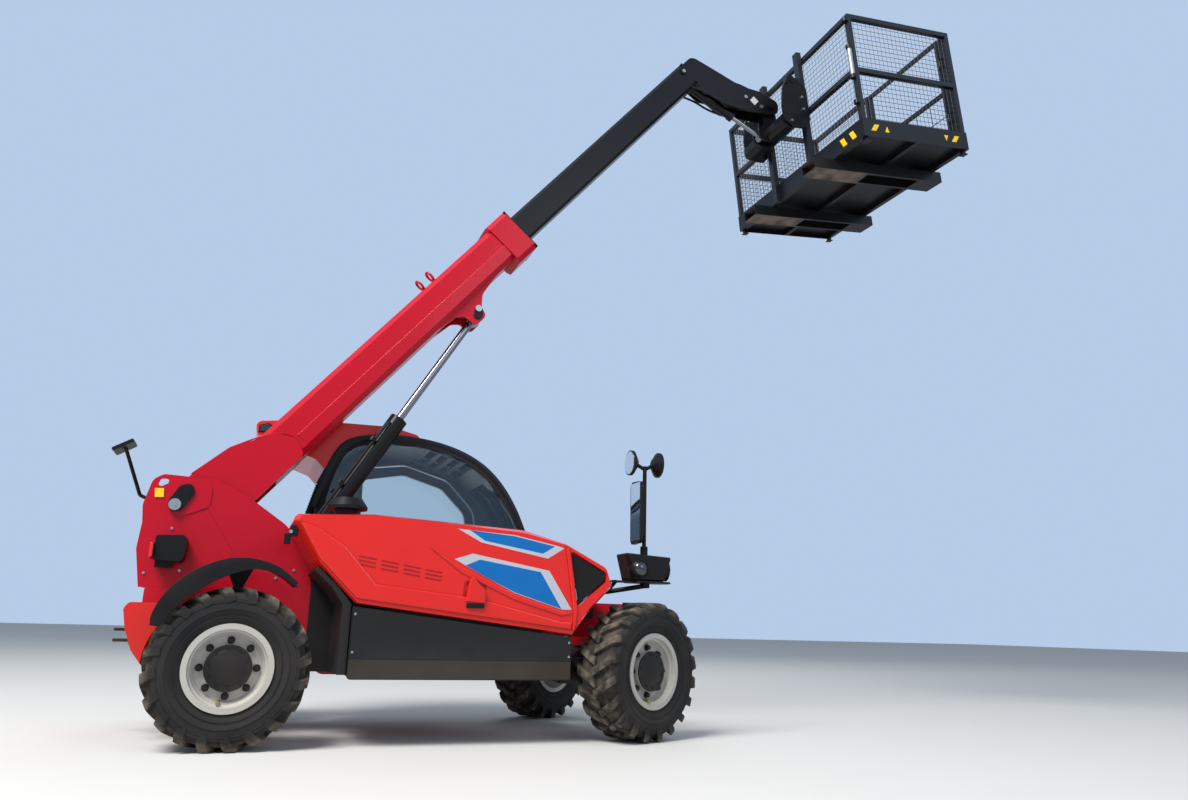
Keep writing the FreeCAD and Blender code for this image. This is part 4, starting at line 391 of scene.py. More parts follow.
# %% From a bmesh to a piece on its body
def add_piece(name, build, place, material, body, smooth=False):
    """Link a finished bmesh as an object at the origin, ride it on a body and give it its material."""
    build.transform(place)
    bmesh.ops.recalc_face_normals(build, faces=build.faces)
    mesh = bpy.data.meshes.new(name)
    build.to_mesh(mesh)
    build.free()
    for face in mesh.polygons:
        face.use_smooth = smooth
    item = bpy.data.objects.new(name, mesh)
    bpy.context.scene.collection.objects.link(item)
    mesh.materials.append(material)
    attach(item, body)
    print(name, "on", body, len(mesh.polygons), "faces")
    return item


def shade_round(item, angle=40):
    """Smooth shading that stops at every edge sharper than the angle in degrees."""
    item.data.shade_smooth()
    item.data.set_sharp_from_angle(angle=math.radians(angle))


def pull_out(build, faces, way):
    """Extrude faces along a vector and give back the new points."""
    grown = bmesh.ops.extrude_face_region(build, geom=faces)
    far = [part for part in grown["geom"] if isinstance(part, bmesh.types.BMVert)]
    bmesh.ops.translate(build, verts=far, vec=way)
    return far


def bevel_edges(build, edges, width):
    """Round edges off with two faces each."""
    bmesh.ops.bevel(build, geom=list(edges), offset=width, segments=2, profile=0.5, affect="EDGES",
                    material=-1)


def turn_to(along):
    """Turn that brings the Z axis onto a direction."""
    return along.to_track_quat("Z", "Y").to_matrix().to_4x4()


# %% Cut plates, blocks and swept sections
def add_prism(build, points, low, high, bevel=0.0):
    """Side outline of (x, z) points between two Y values, with its outer edges bevelled."""
    ring = [build.verts.new((x, low, z)) for x, z in points]
    far = pull_out(build, [build.faces.new(ring)], (0, high - low, 0))
    if bevel:
        edges = {edge for vert in ring + far for edge in vert.link_edges
                 if abs(edge.verts[0].co.y - edge.verts[1].co.y) < 1e-7}
        bevel_edges(build, edges, bevel)


def plates(name, outlines, low, high, place, material, body, bevel=0.0015):
    """Plates of one thickness, each from its side outline."""
    build = bmesh.new()
    for points in outlines:
        add_prism(build, points, low, high, bevel)
    return add_piece(name, build, place, material, body)


def add_block(build, x0, x1, y0, y1, z0, z1, bevel=0.0):
    """Box between two corners with bevelled edges."""
    made = bmesh.ops.create_cube(build, size=1.0)
    for vert in made["verts"]:
        vert.co = Vector((x0 + (vert.co.x + 0.5) * (x1 - x0), y0 + (vert.co.y + 0.5) * (y1 - y0),
                          z0 + (vert.co.z + 0.5) * (z1 - z0)))
    if bevel:
        bevel_edges(build, {edge for vert in made["verts"] for edge in vert.link_edges}, bevel)


def blocks(name, rows, place, material, body, bevel=0.002):
    """Rows of (x0, x1, y0, y1, z0, z1)."""
    build = bmesh.new()
    for row in rows:
        add_block(build, *row, bevel)
    return add_piece(name, build, place, material, body)


def section_run(name, section, start, end, place, material, body):
    """Cross-section of (y, z) points swept along X."""
    build = bmesh.new()
    ring = [build.verts.new((start, y, z)) for y, z in section]
    pull_out(build, [build.faces.new(ring)], (end - start, 0, 0))
    return add_piece(name, build, place, material, body)


def rounded(points, passes=3):
    """Path of (x, z) points with its corners cut, and its two ends kept."""
    for _ in range(passes):
        cut = [points[0]]
        for (ax, az), (bx, bz) in zip(points, points[1:]):
            cut += [(0.75 * ax + 0.25 * bx, 0.75 * az + 0.25 * bz),
                    (0.25 * ax + 0.75 * bx, 0.25 * az + 0.75 * bz)]
        points = cut + [points[-1]]
    return points


SHARP = 1.2


def band(name, outer, inner, low, high, place, material, body, bevel=0.001):
    """Bevelled strip between two paths that have as many (x, z) points, from low to high in Y."""
    build = bmesh.new()
    near = [[build.verts.new((x, low, z)) for x, z in path] for path in (outer, inner)]
    strip = [build.faces.new((near[0][i], near[0][i + 1], near[1][i + 1], near[1][i]))
             for i in range(len(outer) - 1)]
    pull_out(build, strip, (0, high - low, 0))
    bmesh.ops.recalc_face_normals(build, faces=build.faces)
    bevel_edges(build, [edge for edge in build.edges
                        if len(edge.link_faces) == 2 and edge.calc_face_angle() > SHARP], bevel)
    shade_round(add_piece(name, build, place, material, body), 25)


# %% Round bars, tubes, balls, bolt heads and lines
def add_bar(build, start, end, radius, sides=8, tip=None):
    """Round bar, or a cone when a second radius is given."""
    start, end = Vector(start), Vector(end)
    along = end - start
    made = bmesh.ops.create_cone(build, cap_ends=True, segments=sides, radius1=radius,
                                 radius2=radius if tip is None else tip, depth=along.length)
    bmesh.ops.transform(build, verts=made["verts"],
                        matrix=Matrix.Translation((start + end) / 2) @ turn_to(along))


def bars(name, rows, place, material, body, sides=8, smooth=True):
    """Rows of (start, end, radius)."""
    build = bmesh.new()
    for start, end, radius in rows:
        add_bar(build, start, end, radius, sides)
    item = add_piece(name, build, place, material, body, smooth)
    if smooth:
        shade_round(item)
    return item


def bolt_heads(name, spots, near, far, radius, place, body, sides=(-1, 1)):
    """Hexagon heads at (x, z) spots that stand out, from near to far, on one side or on both."""
    rows = [((x, side * near, z), (x, side * far, z), radius) for x, z in spots for side in sides]
    bars(name, rows, place, STEEL, body, sides=6, smooth=False)


def add_tube(build, start, end, outer, inner, sides=48):
    """Hollow round bar: its wall's section spun once about its axis."""
    start, end = Vector(start), Vector(end)
    along = end - start
    before = set(build.verts)
    corners = ((inner, 0), (outer, 0), (outer, along.length), (inner, along.length))
    ring = [build.verts.new((radius, 0, z)) for radius, z in corners]
    section = [build.edges.new(pair) for pair in zip(ring, ring[1:] + ring[:1])]
    bmesh.ops.spin(build, geom=ring + section, cent=(0, 0, 0), axis=(0, 0, 1), angle=2 * math.pi, steps=sides,
                   use_merge=True)
    bmesh.ops.transform(build, verts=[vert for vert in build.verts if vert not in before],
                        matrix=Matrix.Translation(start) @ turn_to(along))


def ball(name, centre, radius, sides, rings, squeeze, material):
    """Ball on the machine, squeezed along its three axes."""
    build = bmesh.new()
    bmesh.ops.create_uvsphere(build, u_segments=sides, v_segments=rings, radius=radius)
    bmesh.ops.transform(build, verts=build.verts,
                        matrix=Matrix.Translation(centre) @ Matrix.Diagonal((*squeeze, 1)))
    add_piece(name, build, MACHINE, material, "chassis", True)


def line(name, points, radius, place, material, body):
    """A smooth pipe or hose that is clamped at both ends."""
    data = bpy.data.curves.new(name, "CURVE")
    data.dimensions = "3D"
    data.bevel_depth = radius
    data.bevel_resolution = 3
    data.resolution_u = 6
    spline = data.splines.new("NURBS")
    spline.points.add(len(points) - 1)
    for point, at in zip(spline.points, points):
        point.co = (*(place @ Vector(at)), 1)
    spline.order_u = 3
    spline.use_endpoint_u = True
    item = bpy.data.objects.new(name, data)
    bpy.context.scene.collection.objects.link(item)
    data.materials.append(material)
    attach(item, body)
    print(name, "on", body, "through", len(points), "points")
    return item


# %% [markdown]
# ## Basket mesh
# The panels of the basket are woven steel wire about 4 mm thick on a 40 mm pitch. A texture with holes
# would look flat from the side, so every wire is a thin bar; four sides are enough at this size and keep
# the piece light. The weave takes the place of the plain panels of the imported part.

# %% Basket: woven mesh in every panel
WIRE = 0.0022
PITCH = 0.04
HEIGHT, DEPTH, HALF_WIDTH = 1.07, 1.04, 0.95
RAIL = 0.03
MESH_LOW, MESH_HIGH = 0.13, HEIGHT - RAIL


def woven_panel(x0, y0, x1, y1):
    """Wires of one upright panel between two corners on the floor; the level wires lie beside the upright."""
    rows = []
    count = int(((x1 - x0) + (y1 - y0)) / PITCH)
    for index in range(1, count):
        x, y = x0 + (x1 - x0) * index / count, y0 + (y1 - y0) * index / count
        rows.append(((x, y, MESH_LOW), (x, y, MESH_HIGH), WIRE))
    beside_x, beside_y = (2 * WIRE, 0) if x0 == x1 else (0, 2 * WIRE)
    count = int((MESH_HIGH - MESH_LOW) / PITCH)
    for index in range(1, count):
        z = MESH_LOW + (MESH_HIGH - MESH_LOW) * index / count
        rows.append(((x0 + beside_x, y0 + beside_y, z), (x1 + beside_x, y1 + beside_y, z), WIRE))
    return rows


woven = woven_panel(0.022, -HALF_WIDTH + RAIL, 0.022, HALF_WIDTH - RAIL)
for y in (-HALF_WIDTH + 0.022, HALF_WIDTH - 0.026):
    woven += woven_panel(RAIL, y, DEPTH - RAIL, y)
woven += woven_panel(DEPTH - RAIL, 0.09, DEPTH - RAIL, HALF_WIDTH - RAIL)
basket_weave = bars("basket_weave", woven, BASKET, BASKET_BLACK, "tool_carriage", sides=4, smooth=False)
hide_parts("basket_mesh")

# %% [markdown]
# ## Basket's films, post and deck
# Blank yellow films lie on the toe boards, a bare galvanised tube with collars stands on a corner post, and
# the deck is chequer plate. The drops of the plate could be bump in a material, but then the mesh itself
# would be flat, so each is a thin bar half sunk in the floor, in staggered rows.

# %% Basket: films on the toe boards, corner tube and deck pattern
FILM = 0.0012
DROP_ROWS, DROP_COLUMNS = 16, 30

rear_patches = [[(y, 0.035), (y + 0.05, 0.035), (y + 0.085, 0.105), (y + 0.035, 0.105)]
                for y in (-0.86, -0.74)]
turned = BASKET @ Matrix.Rotation(math.radians(90), 4, "Z")
plates("rear_patches", rear_patches, 0.0, FILM, turned, YELLOW, "tool_carriage", 0)
side_patches = [[(x, 0.05), (x + 0.045, 0.05), (x + 0.085, 0.105), (x + 0.04, 0.105)]
                for x in (0.07, 0.87)]
side_patches += [[(0.205, 0.05), (0.245, 0.05), (0.228, 0.1)], [(0.80, 0.1), (0.84, 0.1), (0.818, 0.052)]]
for word, side in SIDES:
    low, high = sorted((side * HALF_WIDTH, side * (HALF_WIDTH + FILM)))
    plates("side_patches_" + word, side_patches, low, high, BASKET, YELLOW, "tool_carriage", 0)

post_x, post_y = -0.008, -HALF_WIDTH + 0.02
bars("corner_tubes", [((post_x, post_y, 0.52), (post_x, post_y, 0.76), 0.019)], BASKET, GALVANISED,
     "tool_carriage", sides=16)
collars = [((post_x, post_y, z), (post_x, post_y, z + 0.03), 0.026) for z in (0.28, 0.50, 0.76, 1.0)]
bars("corner_collars", collars, BASKET, BASKET_BLACK, "tool_carriage", sides=16)

drops = []
for row in range(DROP_ROWS):
    for column in range(DROP_COLUMNS):
        x = 0.07 + row * 0.058
        y = -HALF_WIDTH + 0.05 + column * 0.062 + (0.031 if row % 2 else 0)
        way = 0.012 if (row + column) % 2 else -0.012
        drops.append(((x - 0.012, y - way, 0.0495), (x + 0.012, y + way, 0.0495), 0.0028))
bars("deck_drops", drops, BASKET, GALVANISED, "tool_carriage", sides=4, smooth=False)

# %% [markdown]
# ## Coupler and head
# The bent head ends in two plates that carry the coupler's pins. Bolt heads, a blank plate and the two
# hoses of the tilt cylinder are small but catch the eye against the sky, so they are modelled. The hoses
# are held at both ends, so each is a smooth curve with a round bevel rather than a hanging cord.

# %% Coupler and head
blocks("blank_plate", [(5.315, 5.373, -0.0772, -0.0752, -0.705, -0.645)], BOOM, LABEL, "boom_extension",
       0.0006)
bolt_heads("head_bolts", ((5.355, -0.755), (5.30, -0.60)), 0.0745, 0.086, 0.017, BOOM, "boom_extension")
bolt_heads("foot_bolts", ((4.955, -0.09),), 0.117, 0.128, 0.016, BOOM, "boom_extension")
bolt_heads("coupler_bolts", ((0.15, -0.05), (0.15, -0.16), (0.02, -0.28)), 0.32, 0.331, 0.012, CARRIAGE,
           "tool_carriage")
for word, side, drop in (("a", 1, 0.0), ("b", -1, 0.02)):
    route = [(s, side * y, n - drop) for s, y, n in (
        (4.90, 0.088, -0.16), (5.00, 0.092, -0.30), (5.04, 0.094, -0.43), (5.10, 0.090, -0.54),
        (5.20, 0.088, -0.66))]
    line("tilt_hose_" + word, route, 0.009, BOOM, SEAL, "boom_extension")

# %% [markdown]
# ## Boom
# The outer boom is folded from plate, and one long fold runs along its side; below it the plate leans in a
# little. A thin wedge swept along the boom gives that lower face. The weld bead where the boom meets its
# root is a chain of short bars, and the rubber seal closes the mouth round the inner boom. Below the mouth
# an ear holds the lift cylinder's eye with a pin and its retainer.

# %% Boom: folds, weld beads, the seal at its mouth, and the bolts and retainers of its ear
BOOM_FOLD = [(0.1395, -0.145), (0.1462, -0.150), (0.1404, -0.2305), (0.1395, -0.2305)]
ROOT_WELD = [(0.02, 0.108), (0.281, 0.072), (0.412, 0.018), (0.536, -0.049), (0.585, -0.105), (0.600, -0.16),
             (0.575, -0.225)]
for word, side in SIDES:
    fold = [(side * y, z) for y, z in BOOM_FOLD]
    section_run("boom_fold_" + word, fold, 0.62, 2.604, BOOM, RED, "boom")
    face = side * 0.1415
    beads = [((a, face, b), (c, face, d), 0.005) for (a, b), (c, d) in zip(ROOT_WELD, ROOT_WELD[1:])]
    bars("root_weld_" + word, beads, BOOM, RED, "boom", sides=6)
SEAL_Y, MOUTH_Y = 0.1525, 0.112
seal_sides = ((-SEAL_Y, SEAL_Y, -0.022, 0.0335), (-SEAL_Y, SEAL_Y, -0.3175, -0.240),
              (-SEAL_Y, -MOUTH_Y, -0.240, -0.022), (MOUTH_Y, SEAL_Y, -0.240, -0.022))
blocks("mouth_seal", [(2.7902, 2.7975, *side) for side in seal_sides], BOOM, SEAL, "boom", 0.003)
ear_bolts = [((2.125, side * 0.104, -0.349), (2.125, side * 0.121, -0.349), 0.024) for word, side in SIDES]
bars("ear_bolts", ear_bolts, BOOM, STEEL, "boom", sides=20)
retainer = [(2.100, -0.335), (2.128, -0.322), (2.152, -0.345), (2.146, -0.372), (2.108, -0.405),
            (2.075, -0.408), (2.054, -0.385), (2.060, -0.360)]
for word, side in SIDES:
    low, high = sorted((side * 0.1045, side * 0.113))
    plates("ear_retainer_" + word, [retainer], low, high, BOOM, BLACK, "boom", 0.003)

# %% [markdown]
# ## Tower
# The tower's plates carry the boom's pivot. Its retainer bolt, a blank label and a few bolt heads stand a
# few millimetres proud of the plate. They could be painted on, but from the side their thin shadows show.

# %% Tower: blank label, retainer bolt, small bolts and tail lenses
TOWER_FACE = BOOM_Y - 0.2
plates("tower_label", [[(-0.520, 1.386), (-0.472, 1.389), (-0.466, 1.338), (-0.514, 1.334)]],
       TOWER_FACE - 0.0075, TOWER_FACE - 0.0005, MACHINE, YELLOW, "chassis", 0.0006)
bars("retainer_bolt", [((-0.401, TOWER_FACE - 0.022, 1.297), (-0.401, TOWER_FACE - 0.036, 1.297), 0.034),
                       ((-0.401, TOWER_FACE - 0.036, 1.297), (-0.401, TOWER_FACE - 0.040, 1.297), 0.012)],
     MACHINE, STEEL, "chassis", sides=24)
bolt_heads("tower_bolts", ((-0.515, 0.90), (-0.40, 1.16), (-0.33, 0.92), (0.30, 0.95), (0.20, 0.90)),
           -TOWER_FACE, 0.007 - TOWER_FACE, 0.008, MACHINE, "chassis", sides=(-1,))
for word, side in SIDES:
    low, high = sorted((BOOM_Y + side * 0.213, BOOM_Y + side * 0.443))
    blocks("tail_lens_" + word, [(-0.4795, -0.462, low, high, 0.978, 1.058)], MACHINE, RED_LENS, "chassis",
           0.004)

# %% [markdown]
# ## Wheels
# Each wheel has a planetary hub with a cap, eight nuts, a valve and rings moulded on the side wall. They are
# given in the wheel's own frame, with +Y out of the machine, so one loop makes all four and they spin with
# it. The rings could be bump, but their edge shows against the light, so they are thin bars in a circle.

# %% Wheels: hub cap, nuts, valve and the rings on the side wall
NUTS, NUT_CIRCLE = 8, 0.140
CAP_BOLTS, CAP_CIRCLE = 10, 0.098
RING_STEPS = 48


def around(count, radius, first=0.0):
    """Points (x, z) at equal steps round a wheel's axis, the first one at an angle in degrees."""
    angles = [math.radians(360 / count * index + first) for index in range(count)]
    return [(radius * math.cos(angle), radius * math.sin(angle)) for angle in angles]


for body in SPINS:
    place = wheel_frame(body)
    build = bmesh.new()
    add_bar(build, (0, 0.100, 0), (0, 0.1075, 0), 0.1185, 40)
    add_bar(build, (0, 0.1075, 0), (0, 0.1105, 0), 0.092, 40, 0.086)
    for x, z in around(NUTS, NUT_CIRCLE):
        add_bar(build, (x, 0.060, z), (x, 0.066, z), 0.0195, 16)
        add_bar(build, (x, 0.066, z), (x, 0.086, z), 0.0145, 6)
    for x, z in around(CAP_BOLTS, CAP_CIRCLE, 12):
        add_bar(build, (x, 0.1075, z), (x, 0.1125, z), 0.006, 6)
    shade_round(add_piece(body + "_hub_cap", build, place, HUB_BLACK, body), 35)
    bars(body + "_valve", [((0.028, 0.062, -0.168), (0.030, 0.100, -0.171), 0.009),
                           ((0.030, 0.100, -0.171), (0.030, 0.112, -0.172), 0.011)], place, BRASS, body)
    build = bmesh.new()
    for radius, across in ((0.262, 0.1415), (0.300, 0.1495), (0.336, 0.1475)):
        ring = around(RING_STEPS, radius)
        for side in (-1, 1):
            for (ax, az), (bx, bz) in zip(ring, ring[1:] + ring[:1]):
                add_bar(build, (ax, side * across, az), (bx, side * across, bz), 0.0024, 4)
    rubber = frame["nodes"][body.replace("wheel_", "tyre_")].material_slots[0].material
    add_piece(body + "_side_rings", build, place, rubber, body)

# %% [markdown]
# ## Mudguards
# The rear mudguards are moulded with a lip that is deep at the back and runs out to a point in front. Two
# paths with their corners cut give its outline, and a strip of four-sided faces between them is pulled out
# and bevelled. One big face would do in the editor, but it isn't convex and can be filled wrongly.

# %% Mudguards: the deep lip along the outer edge, from the rear tip to the front tip
LIP_OUTER = [(-0.392, 0.206), (-0.394, 0.262), (-0.345, 0.372), (-0.235, 0.482), (-0.100, 0.550),
             (0.040, 0.568), (0.180, 0.535), (0.262, 0.478), (0.304, 0.412)]
LIP_INNER = [(0.282, 0.428), (0.205, 0.480), (0.110, 0.508), (0.020, 0.498), (-0.085, 0.452),
             (-0.180, 0.392), (-0.262, 0.322), (-0.312, 0.262), (-0.348, 0.200)]
AXLE_HEIGHT = 0.41
guard_frame = Matrix.Translation((REAR_AXLE, 0, AXLE_HEIGHT))
for word, side in SIDES:
    low, high = sorted((side * 0.8985, side * 0.9105))
    band("guard_lip_" + word, rounded(LIP_OUTER), rounded(LIP_INNER)[::-1], low, high, guard_frame, PLASTIC,
         "knuckle_rear_%s_body" % word, 0.002)

# %% [markdown]
# ## Hood
# The hood is one moulding with a raised flange, a crease and a rear pillar, two coloured films without
# words, a latch in the middle and a fine screen in its front corner. The raised parts could be cut into the
# packed skin, but that isn't changed here: they are thin plates with a wide bevel, so that their edges fade
# into it.

# %% Hood: films and raised parts
HOOD_Y = -0.885


def on_hood(name, outlines, proud, sunk, material, bevel):
    """Plates on the hood's outer face, from proud of it to sunk under it."""
    plates(name, outlines, HOOD_Y - proud, HOOD_Y + sunk, MACHINE, material, "hood_lid", bevel)


on_hood("silver_film", [[(1.150, 1.196), (1.293, 1.125), (1.703, 1.052), (1.805, 1.118), (1.760, 1.130),
                         (1.497, 1.178)],
                        [(1.141, 1.022), (1.246, 1.058), (1.715, 0.981), (1.862, 0.760), (1.804, 0.758),
                         (1.505, 0.845), (1.338, 0.924)]], 0.0006, 0, SILVER, 0)
on_hood("blue_film", [[(1.222, 1.192), (1.313, 1.136), (1.671, 1.080), (1.745, 1.126), (1.497, 1.172)],
                      [(1.209, 0.989), (1.290, 1.026), (1.662, 0.971), (1.799, 0.762), (1.505, 0.849),
                       (1.338, 0.924)]], 0.0012, -0.0006, BLUE, 0)
on_hood("small_film", [[(0.721, 0.864), (0.888, 0.843), (0.890, 0.819), (0.725, 0.839)]], 0.0008, 0, LABEL, 0)
on_hood("hood_flange", [[(0.275, 1.185), (0.400, 0.985), (0.612, 0.782), (1.862, 0.645), (1.868, 0.690),
                         (1.795, 0.690), (1.363, 0.790), (1.185, 0.818), (0.710, 0.866), (0.614, 0.970),
                         (0.531, 1.062), (0.384, 1.152), (0.330, 1.172)]], 0.013, 0.002, HOOD_RED, 0.009)
on_hood("hood_pillar", [[(1.812, 1.128), (1.840, 1.122), (1.902, 0.752), (1.886, 0.640), (1.868, 0.645),
                         (1.872, 0.742)]], 0.011, 0.002, HOOD_RED, 0.008)
on_hood("hood_crease", [[(0.994, 1.078), (1.200, 0.975), (1.505, 0.838), (1.804, 0.748), (1.866, 0.738),
                         (1.80, 0.722), (1.500, 0.806), (1.185, 0.945)]], 0.008, 0.002, HOOD_RED, 0.006)

# %% Hood: grille screen, latch and rear bracket
SCREEN_WIRES = 28

screen = bmesh.new()
add_prism(screen, [(1.852, 1.090), (2.072, 0.986), (2.070, 0.938), (1.908, 0.795)], HOOD_Y + 0.012,
          HOOD_Y + 0.014)
for index in range(SCREEN_WIRES):
    x = 1.856 + 0.008 * index
    high = 1.088 - (x - 1.852) * 0.473
    low = 0.800 + (x - 1.908) * 0.86 if x > 1.908 else 1.08 - (x - 1.852) * 5.0
    if high - low > 0.01:
        add_bar(screen, (x, HOOD_Y + 0.010, low), (x, HOOD_Y + 0.010, high), 0.0015, 4)
grille_screen = add_piece("grille_screen", screen, MACHINE, SEAL, "hood_lid")
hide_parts("hood_grille")
on_hood("latch_cover", [[(1.246, 0.930), (1.330, 0.850), (1.330, 0.778), (1.214, 0.786), (1.232, 0.905)]],
        0.030, 0, HOOD_RED, 0.008)
# Black block in the slot under the latch cover: painted shade in the slot.
blocks("latch_slot_shade", [(1.222, 1.325, HOOD_Y - 0.026, HOOD_Y + 0.004, 0.750, 0.776)], MACHINE, PLASTIC,
       "hood_lid", 0.004)
blocks("hood_rear_bracket", [(0.232, 0.275, -0.840, -0.800, 1.105, 1.165),
                             (0.205, 0.240, -0.835, -0.805, 1.060, 1.120)], MACHINE, BLACK, "hood_lid", 0.004)
bars("hood_rear_pin", [((0.236, -0.852, 1.128), (0.236, -0.788, 1.128), 0.010)], MACHINE, STEEL, "hood_lid",
     sides=14)

# %% [markdown]
# ## Side panel
# The black panel under the hood is folded: its lower band leans in and is dusty from the road. A mask in
# one material could darken it, but only a real fold changes the light on it. Behind the rear wheel's arch a
# bent liner closes the gap to the frame.

# %% Side panel: face, lower fold, screws and the arch's liner
PANEL_BACK = -0.884
plates("skirt_face", [[(0.600, 0.464), (1.863, 0.464), (1.863, 0.602), (0.600, 0.733)]], -0.8935, PANEL_BACK,
       MACHINE, SKIRT, "chassis", 0.002)
section_run("skirt_fold", [(PANEL_BACK, 0.362), (-0.8862, 0.362), (-0.8930, 0.463), (PANEL_BACK, 0.463)],
            0.600, 1.863, MACHINE, SKIRT_LOW, "chassis")
bolt_heads("skirt_screws", ((0.612, 0.50), (0.612, 0.70), (1.85, 0.49), (1.85, 0.57)), 0.8930, 0.8965, 0.007,
           MACHINE, "chassis", sides=(-1,))
liner = [(0.545, 0.380), (0.592, 0.380), (0.592, 0.752), (0.505, 0.855), (0.400, 0.945), (0.380, 0.925),
         (0.480, 0.838), (0.545, 0.745)]
plates("arch_liner", [liner], -0.862, -0.262, MACHINE, SEAL, "chassis", 0.004)
sheet = [(0.408, 0.366), (0.594, 0.366), (0.594, 0.770), (0.500, 0.880), (0.430, 0.950), (0.408, 0.930)]
plates("arch_sheet", [sheet], -0.2620, -0.2565, MACHINE, SEAL, "chassis", 0.001)

# %% [markdown]
# ## Front lamp and mirrors
# A clear lens is a flattened ball, because a bulging cover shows a round highlight that a flat disc doesn't.
# The mirrors' faces are separate, so that they can be smooth and bright.

# %% Front lamp and mirrors
POST_Y = -0.745
LAMP_HEIGHT = 1.028
bars("lamp_bezel", [((2.546, POST_Y, LAMP_HEIGHT), (2.522, POST_Y, LAMP_HEIGHT), 0.070)], MACHINE, PLASTIC,
     "chassis", sides=28)
ball("lamp_lens", (2.540, POST_Y, LAMP_HEIGHT), 0.062, 28, 14, (0.25, 1, 1), LENS)
ball("side_marker", (2.318, -0.856, 1.022), 0.046, 24, 12, (1, 0.7, 1), GLOSS_BLACK)
mirror_faces = bmesh.new()
add_block(mirror_faces, 2.3255, 2.3290, -0.820, -0.678, 1.205, 1.575)
for x, way in ((2.284, -1), (2.494, 1)):
    add_bar(mirror_faces, (x, POST_Y, 1.706), (x + way * 0.003, POST_Y, 1.706), 0.074, 32)
add_piece("mirror_faces", mirror_faces, MACHINE, MIRROR, "chassis")

# %% [markdown]
# ## Lift cylinder
# The lift cylinder's barrel is thick, and a hard pipe runs along it, clamped in three places. The sleeve is
# its wall's section spun about the axis, which leaves a true bore for the rod, where capped cylinders would
# block it. The pipe is a smooth curve with a round bevel. Both ride on the barrel.

# %% Lift cylinder: sleeve, pipe and clamps
LIFT = Vector((1.342 - 0.147, 0, 2.773 - 0.751)).normalized()
LIFT_FOOT = Vector((0.147, BOOM_Y, 0.751))
SLEEVE_BORE = 0.0522


def on_lift(along, y, off=0.0):
    """Point beside the lift cylinder: along it, across (machine Y) and off its line in the side view."""
    return LIFT_FOOT + LIFT * along + Vector((LIFT.z, 0, -LIFT.x)) * off + Vector((0, y, 0))


build = bmesh.new()
add_tube(build, on_lift(0.20, 0), on_lift(1.376, 0), 0.0605, SLEEVE_BORE)
add_tube(build, on_lift(0.184, 0), on_lift(0.20, 0), 0.0570, SLEEVE_BORE)
shade_round(add_piece("lift_sleeve", build, MACHINE, BLACK, "lift_barrel"))
line("lift_pipe", [on_lift(0.16, -0.066, -0.045), on_lift(0.30, -0.070, -0.052), on_lift(0.9, -0.070, -0.052),
                   on_lift(1.30, -0.070, -0.052), on_lift(1.38, -0.062, -0.04)],
     0.008, MACHINE, SEAL, "lift_barrel")
clamps = [(on_lift(along, -0.070, -0.066), on_lift(along + 0.03, -0.070, -0.066), 0.014)
          for along in (0.42, 0.85, 1.2)]
bars("pipe_clamps", clamps, MACHINE, BLACK, "lift_barrel", sides=8)

# %% [markdown]
# ## Cab arches
# The cab's frame is a bent tube, and its window is bonded in with a broad black edge. A path with its corners
# cut makes both run smoothly round the cab. A curve with a bevel would be as smooth, but its section is
# round, and these are flat.

# %% Cab: smooth rails along both arches and a seal round the right window
ARCH = [(0.400, 1.380), (0.500, 1.760), (0.640, 1.880), (1.080, 1.905), (1.470, 1.800), (1.720, 1.560),
        (1.900, 1.150)]
WINDOW = [(0.470, 1.240), (0.450, 1.400), (0.540, 1.740), (0.660, 1.840), (1.080, 1.862), (1.440, 1.764),
          (1.680, 1.530), (1.830, 1.240)]
CAB_MIDDLE = (1.10, 1.25)


def scaled(points, factor):
    """The same path grown or drawn in about the cab's middle."""
    return [tuple(mid + (value - mid) * factor for mid, value in zip(CAB_MIDDLE, point)) for point in points]


# Columns: name, path, growth of its outer and inner edge, lowest and highest Y, finish.
for name, path, outer, inner, low, high, material in (
        ("arch_rail_right", ARCH, 1.03, 0.965, 0.1112, 0.1185, BLACK),
        ("arch_rail_left", ARCH, 1.03, 0.965, 0.8965, 0.9035, BLACK),
        ("window_seal", WINDOW, 1.05, 0.992, 0.1122, 0.1165, SEAL)):
    band(name, rounded(scaled(path, outer), 4), rounded(scaled(path, inner), 4), low, high, MACHINE, material,
         "chassis")

# %% [markdown]
# ## Inside and behind the cab
# Through the glass one sees the dash, two levers and the wiper, and under the roof window pale blocks that
# paint the sky light showing through its slots. Behind the cab a ribbed conduit and two hoses climb to the
# roof. They are simple, because the glass hides most of them.

# %% Cab: painted sky light in the roof's slots, dash, levers and wiper
# Pale blocks where the roof's slots are: painted sky light seen through them.
sky_light_blocks = [(1.13 + 0.085 * i, 1.165 + 0.085 * i, 0.20, 0.82, 1.853 - 0.024 * i, 1.865 - 0.024 * i)
         for i in range(4)]
blocks("roof_slots_painted_sky_light", sky_light_blocks, MACHINE, SLOT_SKY_LIGHT, "chassis", 0.003)
blocks("dash", [(1.50, 1.72, 0.20, 0.82, 1.02, 1.13), (1.44, 1.50, 0.40, 0.62, 1.05, 1.12),
                (0.86, 1.24, 0.175, 0.275, 0.93, 1.06)], MACHINE, LINER, "chassis", 0.012)
bars("levers", [((1.16, 0.225, 1.05), (1.19, 0.225, 1.20), 0.009),
                ((1.40, 0.40, 1.12), (1.44, 0.28, 1.15), 0.006),
                ((1.40, 0.62, 1.12), (1.44, 0.72, 1.15), 0.006)], MACHINE, PLASTIC, "chassis", sides=10)
ball("lever_knob", (1.192, 0.225, 1.215), 0.024, 16, 10, (1, 1, 1), PLASTIC)
bars("wiper", [((1.835, 0.46, 1.19), (1.690, 0.50, 1.50), 0.007),
               ((1.775, 0.40, 1.33), (1.62, 0.55, 1.62), 0.005)], MACHINE, SEAL, "chassis", sides=8)

# %% Cab: ribbed conduit and lines behind it, and the small lamp in the roof's side
RIBS = 44

